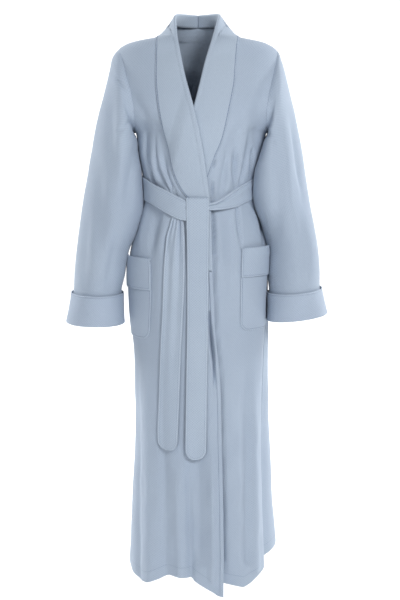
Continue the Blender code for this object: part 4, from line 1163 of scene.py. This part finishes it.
def dress_collar(side):
    leaf, leaf_way, (crest, crest_way), foot = collar_leaf(side)
    nape, nape_way, (nape_crest, nape_crest_way), nape_foot = collar_nape(side)
    shared = COLLAR_ACROSS * UNDER_COLLAR
    nape[0, : shared + 1] = leaf[0, ::-1]

    # The neck's edge runs on from the back to the front with its corner softened
    edge = np.concatenate([nape[0, shared:][::-1], leaf[1:, 0]])
    at_back = nape.shape[1] - shared
    shift = soften(edge, 9) - edge
    share = even(UNDER_COLLAR + 1, COLLAR_ACROSS) / UNDER_COLLAR
    fade = np.clip(1 - share / 0.6, 0, 1) ** 2
    leaf[1:] += shift[at_back:, None] * fade[None, :, None]
    leaf[0] += shift[at_back - 1] * fade[:, None]
    nape[0, : shared + 1] = leaf[0, ::-1]
    edge = np.concatenate([nape[0, shared:][::-1], leaf[1:, 0]])

    pairs = ((nape_crest, crest), (nape_crest_way, crest_way), (nape_foot, foot))
    joined = [np.concatenate([behind[shared:][::-1][:-1], front]) for behind, front in pairs]
    crest_out = soften(joined[1], 14)
    crest_out /= np.linalg.norm(crest_out, axis=1, keepdims=True)
    roll, run = collar_roll(edge, soften(joined[0], 9), crest_out, soften(joined[2], 9))
    roll_flat = np.stack([-side * drop_of(roll) * 0.9, run + 0 * roll[..., 0]], axis=-1)
    patches = [
        (leaf, flat_place(leaf), leaf_way[0, 0]),
        (nape, flat_place(nape), nape_way[0, 0]),
        (roll, roll_flat, crest_out[0]),
    ]
    points, flat, faces = join_patches(patches)
    outer = [(np.concatenate([nape[-1, ::-1], nape[::-1, 0], leaf[:, -1]]), 0.0)]
    dress(f"collar_{NAMES[side]}", points, faces, COLLAR_CLOTH, flat, outer, 1.0 * MM, 1.1 * MM)


for side in (RIGHT, LEFT):
    dress_collar(side)


def armhole(side):
    """A sleeve's first ring: every second point of the armhole, and the angle of each."""
    column = 0 if side == LEFT else -1
    last = ARMPIT_ROW * DOWN
    front = FRONTS[side][: last + 1, -1]
    back = back_points[1:last, column][::-1]
    down = run_of(front)
    up = run_of(np.concatenate([front[-1:], back, front[:1]]))
    angle = np.concatenate([180 * down / down[-1], 180 + 180 * up[1:-1] / up[-1]])
    return np.concatenate([front, back])[::2], angle[::2]


# Steps down a sleeve, and how far it is pressed against the body there, in mm
AGAINST = {
    RIGHT: table("step press", [
        (1.5, 0), (3, 6), (4.2, 3), (6, 1.6), (7.8, 2), (8.6, 5),
        (9.6, 4.5), (10.6, 7), (11.4, 8.5), (12.2, 7), (12.8, 0.5),
    ]),
    LEFT: table("step press", [
        (1.5, 0), (3, 5), (4.2, 2.8), (6, 1.6), (7.8, 2), (8.6, 4), (9.6, 2), (12, 1.6), (14, 0),
    ]),
}
# Where a sleeve's cloth ends in the fold of the hem, and where the cuff's edge and fold lie
SLEEVE_END = 15.0
HEM_FOLD = 15.93
CUFF_TOP = 13.0


def tube_ways(points):
    down = np.gradient(points, axis=0)
    round_it = np.roll(points, -1, axis=1) - np.roll(points, 1, axis=1)
    normal = np.cross(down, round_it)
    normal /= np.linalg.norm(normal, axis=-1, keepdims=True)
    away = (normal * (points - points.mean(axis=1, keepdims=True))).sum(axis=-1).mean()
    return normal if away > 0 else -normal


def tube_flat(points, wide):
    """Weave coordinates of a tube, which is cut open at its first column."""
    around = np.arange(points.shape[1]) / points.shape[1] * wide
    length = np.concatenate([[0], np.cumsum(np.linalg.norm(np.diff(points, axis=0), axis=2).mean(axis=1))])
    return np.stack(np.broadcast_arrays(around[None, :], length[:, None]), axis=-1).reshape(-1, 2)


def tube_faces(points, rows=slice(None)):
    """A tube's faces, turned so that the given rows look out."""
    faces = quads(*points.shape[:2], closed=True)
    facing = facing_of(points.reshape(-1, 3), faces).reshape(points.shape)
    outward = points - points.mean(axis=1, keepdims=True)
    return faces[:, ::-1] if (facing[rows] * outward[rows]).sum() < 0 else faces


def sleeve_points(side, steps):
    loop, angle = armhole(side)
    shift = loop - sleeve_ring(side, 0.0, angle)
    at_pit = bell((angle - 180) / 14)
    start = np.array([side * 1.0, 0, 0]) * (0.2 * MM + 0.8 * MM * at_pit)[:, None]
    held = [max(0.0, 1 - s / 4.5) ** 1.5 for s in steps]
    points = np.array([sleeve_ring(side, s, angle) + (shift + start) * h for s, h in zip(steps, held)])
    flat = points.reshape(-1, 3)
    facing = ease((0.002 - flat[:, 1]) / 0.03)
    out = fold_depth(flat, SLEEVE_FRONT_FOLDS) * facing + fold_depth(flat, SLEEVE_BACK_FOLDS) * (1 - facing)
    out = (out + unevenness(flat)).reshape(points.shape[:2])
    ramp = ease(np.asarray(steps, float) / 2.2)[:, None]
    hugging = bell((angle[None, :] - 180) / 34)
    out = np.where(out > 0, out * (1 - hugging), out) * ramp
    press = np.interp(steps, AGAINST[side]["step"], AGAINST[side]["press"])[:, None]
    out = out * (1 - 0.7 * hugging) + MM * press * hugging
    return points + tube_ways(points) * out[..., None]


def dress_sleeve(side):
    points = sleeve_points(side, np.linspace(0, SLEEVE_END, 121))
    flat = tube_flat(points, 0.38)
    dress(f"sleeve_{NAMES[side]}", points, tube_faces(points), CLOTH, flat)


def dress_cuff(side):
    """The sleeve's end, turned up on the outside."""
    hem = sleeve_points(side, np.linspace(SLEEVE_END, HEM_FOLD, 12))
    steps = np.linspace(CUFF_TOP, HEM_FOLD, 30)
    leaf = sleeve_points(side, steps)
    stand_off = np.interp(steps, [CUFF_TOP, 13.4, 14.0, 15.0, HEM_FOLD], [5.6, 5.0, 4.2, 3.8, 4.4])
    leaf = leaf + tube_ways(leaf) * stand_off[:, None, None] * MM
    down = hem[-1] - hem[-2]
    down /= np.linalg.norm(down, axis=-1, keepdims=True)
    tip = (hem[-1] + leaf[-1]) / 2
    half = (leaf[-1] - hem[-1]) / 2
    radius = np.linalg.norm(half, axis=-1, keepdims=True)
    angles = np.linspace(0, math.pi, 9)[1:-1]
    bend = np.array([tip - half * math.cos(a) + down * radius * math.sin(a) for a in angles])
    cuff = np.concatenate([hem, bend, leaf[::-1]])
    faces = tube_faces(cuff, slice(-len(leaf), None))
    edge = [(np.concatenate([leaf[0], leaf[0, :1]]), 0.0)]
    dress(f"cuff_{NAMES[side]}", cuff, faces, CUFF_CLOTH, tube_flat(cuff, 0.40), edge)


for side in (RIGHT, LEFT):
    dress_sleeve(side)
    dress_cuff(side)


FIRST = UNDER_COLLAR + TO_POCKET
LAST = FIRST + ON_POCKET
POCKET_ROUND = 0.024
# Fine rows of a pocket under the bend of its band
UNDER_BAND = 3


def pocket_out(side, down, across):
    """How far a pocket stands off the front: it hangs open a little towards the top and the side."""
    top = np.clip(1 - down * 1.15, 0, 1) ** 1.4
    belly = np.sin(np.pi * np.clip(across, 0, 1)) * 0.75 + 0.55 * ease((across - 0.4) / 0.5)
    gape = (8.0 if side == LEFT else 2.5) * top * belly * ease(across / 0.2)
    full = 1.2 * np.sin(np.pi * np.clip(down, 0, 1)) * np.sin(np.pi * across)
    return MM * (2.4 + gape + full)


def pocket_grid(side):
    """A pocket's turns, heights and stand-off. Its lower corners are round."""
    block = slice(POCKET_TOP_ROW, POCKET_END_ROW + 1), slice(FIRST + 1, LAST + 2)
    rows = even(POCKET_END_ROW - POCKET_TOP_ROW + 1, POCKET_DOWN)
    columns = even(ON_POCKET + 1, POCKET_ACROSS)
    turn, height = (finer(grid[block], rows, columns) for grid in LINES[side])
    from_round = np.maximum(0, POCKET_ROUND - (height - height[-1]))
    inset = POCKET_ROUND - np.sqrt(np.maximum(0, POCKET_ROUND**2 - from_round**2))
    inset = np.degrees(inset[:, :1] / 0.15)
    share = columns[None, :] / ON_POCKET
    turn = turn + side * (inset * (1 - share) - inset * 0.6 * share)
    down = (rows / (POCKET_END_ROW - POCKET_TOP_ROW))[:, None]
    return turn, height, pocket_out(side, down, share + 0 * down)


def round_edge(grid, first):
    """The sides and foot of a grid, from a row down."""
    return [(np.concatenate([grid[first:, 0], grid[-1], grid[first:, -1][::-1]]), 0.0)]


def dress_pocket(side):
    """A patch pocket, and the band turned down over its top."""
    turn, height, out = pocket_grid(side)
    sheet, way = worn(KINDS[side], turn, height, out)
    shown = sheet[UNDER_BAND:]
    faces = sided(quads(*shown.shape[:2]), side)
    edge = round_edge(sheet, UNDER_BAND)
    dress(f"pocket_{NAMES[side]}", shown, faces, POCKET_CLOTH, flat_place(shown), edge)

    deep = (BAND_END_ROW - POCKET_TOP_ROW) * POCKET_DOWN + 1
    leaf, _ = worn(KINDS[side], turn[:deep], height[:deep], out[:deep] + 3.1 * MM)
    crest = sheet[0]
    foot = sheet[UNDER_BAND] - (sheet[UNDER_BAND] - crest) * 0.1
    up = crest - foot
    up /= np.linalg.norm(up, axis=1, keepdims=True)
    radius = 1.55 * MM
    middle = crest + way[0] * radius - up * 1.2 * MM
    angles = np.linspace(0, math.pi, 8)
    bend = np.array([middle + (-way[0] * math.cos(a) + up * math.sin(a)) * radius for a in angles])
    band = np.concatenate([foot[None], bend, leaf[1:]])
    faces = sided(quads(*band.shape[:2]), side)
    run = drop_of(band)
    flat = np.stack([run_of(band[-1]) + 0 * run, run], axis=-1).reshape(-1, 2)
    dress(f"pocket_band_{NAMES[side]}", band, faces, BAND_CLOTH, flat, round_edge(band, 5))


for side in (RIGHT, LEFT):
    dress_pocket(side)


def dress_belt():
    """The band round the waist, open where the knot would be."""
    around = np.linspace(2.2, 357.8, 400)
    across = np.linspace(1, -1, 25)
    up = across[:, None]
    turn = np.broadcast_to(around[None, :], (len(across), len(around)))
    height = read(BELT, "middle", turn, "turn") + up * read(BELT, "half", turn, "turn")
    bulge = 1.6 * (1 - up**4)
    # The end that comes out of the knot is folded lengthwise
    folded_at = np.interp(around, [0, 12, 40, 75, 100], [0.1, 0.3, 0.62, 0.86, 1.2])[None, :]
    folded_deep = np.interp(around, [0, 8, 40, 80, 95], [1.6, 2.2, 2.2, 1.0, 0.0])[None, :]
    bulge = bulge - folded_deep * bell((up - folded_at) / 0.14)
    bulge = bulge + 0.5 * folded_deep * bell((up - folded_at + 0.42) / 0.26)
    # Gathers where the band goes into the knot
    into_knot = bell((around - 352) / 9)[None, :]
    bulge = bulge + 0.7 * into_knot * np.cos(up * 7.5 + 0.6)
    band, _ = surface(None, turn, height, MM * (read(BELT, "out", turn, "turn") + bulge))
    run = run_of(band.mean(axis=0))
    flat = np.stack(np.broadcast_arrays(run[None, :], (up * 0.5 + 0.5) * 0.048), axis=-1).reshape(-1, 2)
    edges = [(band[0], 0.0), (band[-1], 0.0)]
    dress("belt_waist", band, quads(*band.shape[:2]), BELT_CLOTH, flat, edges)


def dress_tail(part, rows, columns, each):
    """A hanging end of the belt. Pleats spread from its top, where it comes out of the knot."""
    share = np.linspace(0, 1, columns)
    at = even(len(rows["height"]), each)
    rows = {key: along(value[:, None], at) for key, value in rows.items()}
    height = np.broadcast_to(rows["height"], (len(at), columns))
    x = rows["left"] + (rows["right"] - rows["left"]) * share
    out = rows["out"] + 0 * share
    if "pleat" in rows:
        fan = 2.4 * bell((rows["height"] + 0.415) / 0.05) * ease((rows["pleat"] - 0.1) / 0.8)
        out = out + rows["pleat"] * np.cos(share * 2 * np.pi * 2 + 0.5)
        out = out + fan * np.cos(share * 2 * np.pi * 3.4 + 1.0)
    points, _ = worn(None, turn_at(x, height), height, MM * out, 0.55)
    run = run_of(points.mean(axis=1))
    flat = np.stack(np.broadcast_arrays(share[None, :] * 0.045, run[:, None]), axis=-1).reshape(-1, 2)
    edge = [(np.concatenate([points[:, 0], points[-1], points[::-1, -1]]), 0.0)]
    faces = quads(*points.shape[:2])[:, ::-1]
    dress(part, points, faces, BELT_CLOTH, flat, edge, WALL * 0.45, WALL * 0.45)


dress_belt()
dress_tail("belt_tail_front", TAIL_FRONT, 25, 8)
dress_tail("belt_tail_under", TAIL_UNDER, 33, 12)

# A white sheet that lies under the robe and rises far behind it
FLOOR = -1.42
RISE_FROM = 6.6
BEND = 1.4


def make_floor():
    turns = np.radians(range(6, 90, 6))
    bend = [(RISE_FROM + BEND * math.sin(a), FLOOR + BEND - BEND * math.cos(a)) for a in turns]
    sweep = [(-9.0, FLOOR), (RISE_FROM, FLOOR), *bend, (RISE_FROM + BEND, 0.0), (RISE_FROM + BEND, 4.0)]
    corners = [(x, y, z) for y, z in sweep for x in (-9.0, 9.0)]
    strips = [(2 * k, 2 * k + 1, 2 * k + 3, 2 * k + 2) for k in range(len(sweep) - 1)]
    mesh = bpy.data.meshes.new("floor")
    mesh.from_pydata(corners, [], strips)
    mesh.polygons.foreach_set("use_smooth", np.ones(len(mesh.polygons), bool))
    material = bpy.data.materials.new("pale_floor")
    material.use_nodes = True
    shader = material.node_tree.nodes["Principled BSDF"]
    shader.inputs["Base Color"].default_value = (0.97, 0.97, 0.97, 1)
    shader.inputs["Roughness"].default_value = 0.95
    mesh.materials.append(material)
    floor = bpy.data.objects.new("floor", mesh)
    bpy.context.scene.collection.objects.link(floor)


def lamp(name, place, aim, size, power):
    light = bpy.data.lights.new(name, "AREA")
    light.shape = "SQUARE"
    light.size = size
    light.energy = power
    made = bpy.data.objects.new(name, light)
    bpy.context.scene.collection.objects.link(made)
    made.location = place
    way = np.array(aim, float) - np.array(place, float)
    made.rotation_euler = (math.atan2(math.hypot(way[0], way[1]), -way[2]), 0, math.atan2(-way[0], way[1]))


def light_studio():
    world = bpy.data.worlds.new("studio")
    bpy.context.scene.world = world
    world.use_nodes = True
    world.node_tree.nodes["Background"].inputs["Color"].default_value = (0.94, 0.97, 1.0, 1)
    world.node_tree.nodes["Background"].inputs["Strength"].default_value = 0.24
    lamp("key", (1.1, -2.5, 0.9), (0, 0, -0.2), 0.8, 49)
    lamp("fill", (-0.9, -2.8, 0.3), (0, 0, -0.25), 1.4, 17)
    lamp("backdrop_left", (-3.0, 1.9, 1.5), (0, 4.4, -1.3), 2.4, 260)
    lamp("backdrop_right", (3.0, 1.9, 1.5), (0, 4.4, -1.3), 2.4, 260)


# The photo's height and the lens's focal length, both in its pixels, and how far the camera looks down
PHOTO_HIGH = 600
FOCAL = 1062
LOOK_DOWN = 8.5


def set_camera():
    camera = bpy.data.objects.new("camera", bpy.data.cameras.new("camera"))
    bpy.context.scene.collection.objects.link(camera)
    camera.location = (0.0047, -2.5, -0.234)
    camera.rotation_euler = (math.radians(90 - LOOK_DOWN), 0, 0)
    camera.data.lens = camera.data.sensor_width * FOCAL / PHOTO_HIGH
    bpy.context.scene.camera = camera
    bpy.context.scene.view_settings.view_transform = "Standard"


make_floor()
light_studio()
set_camera()
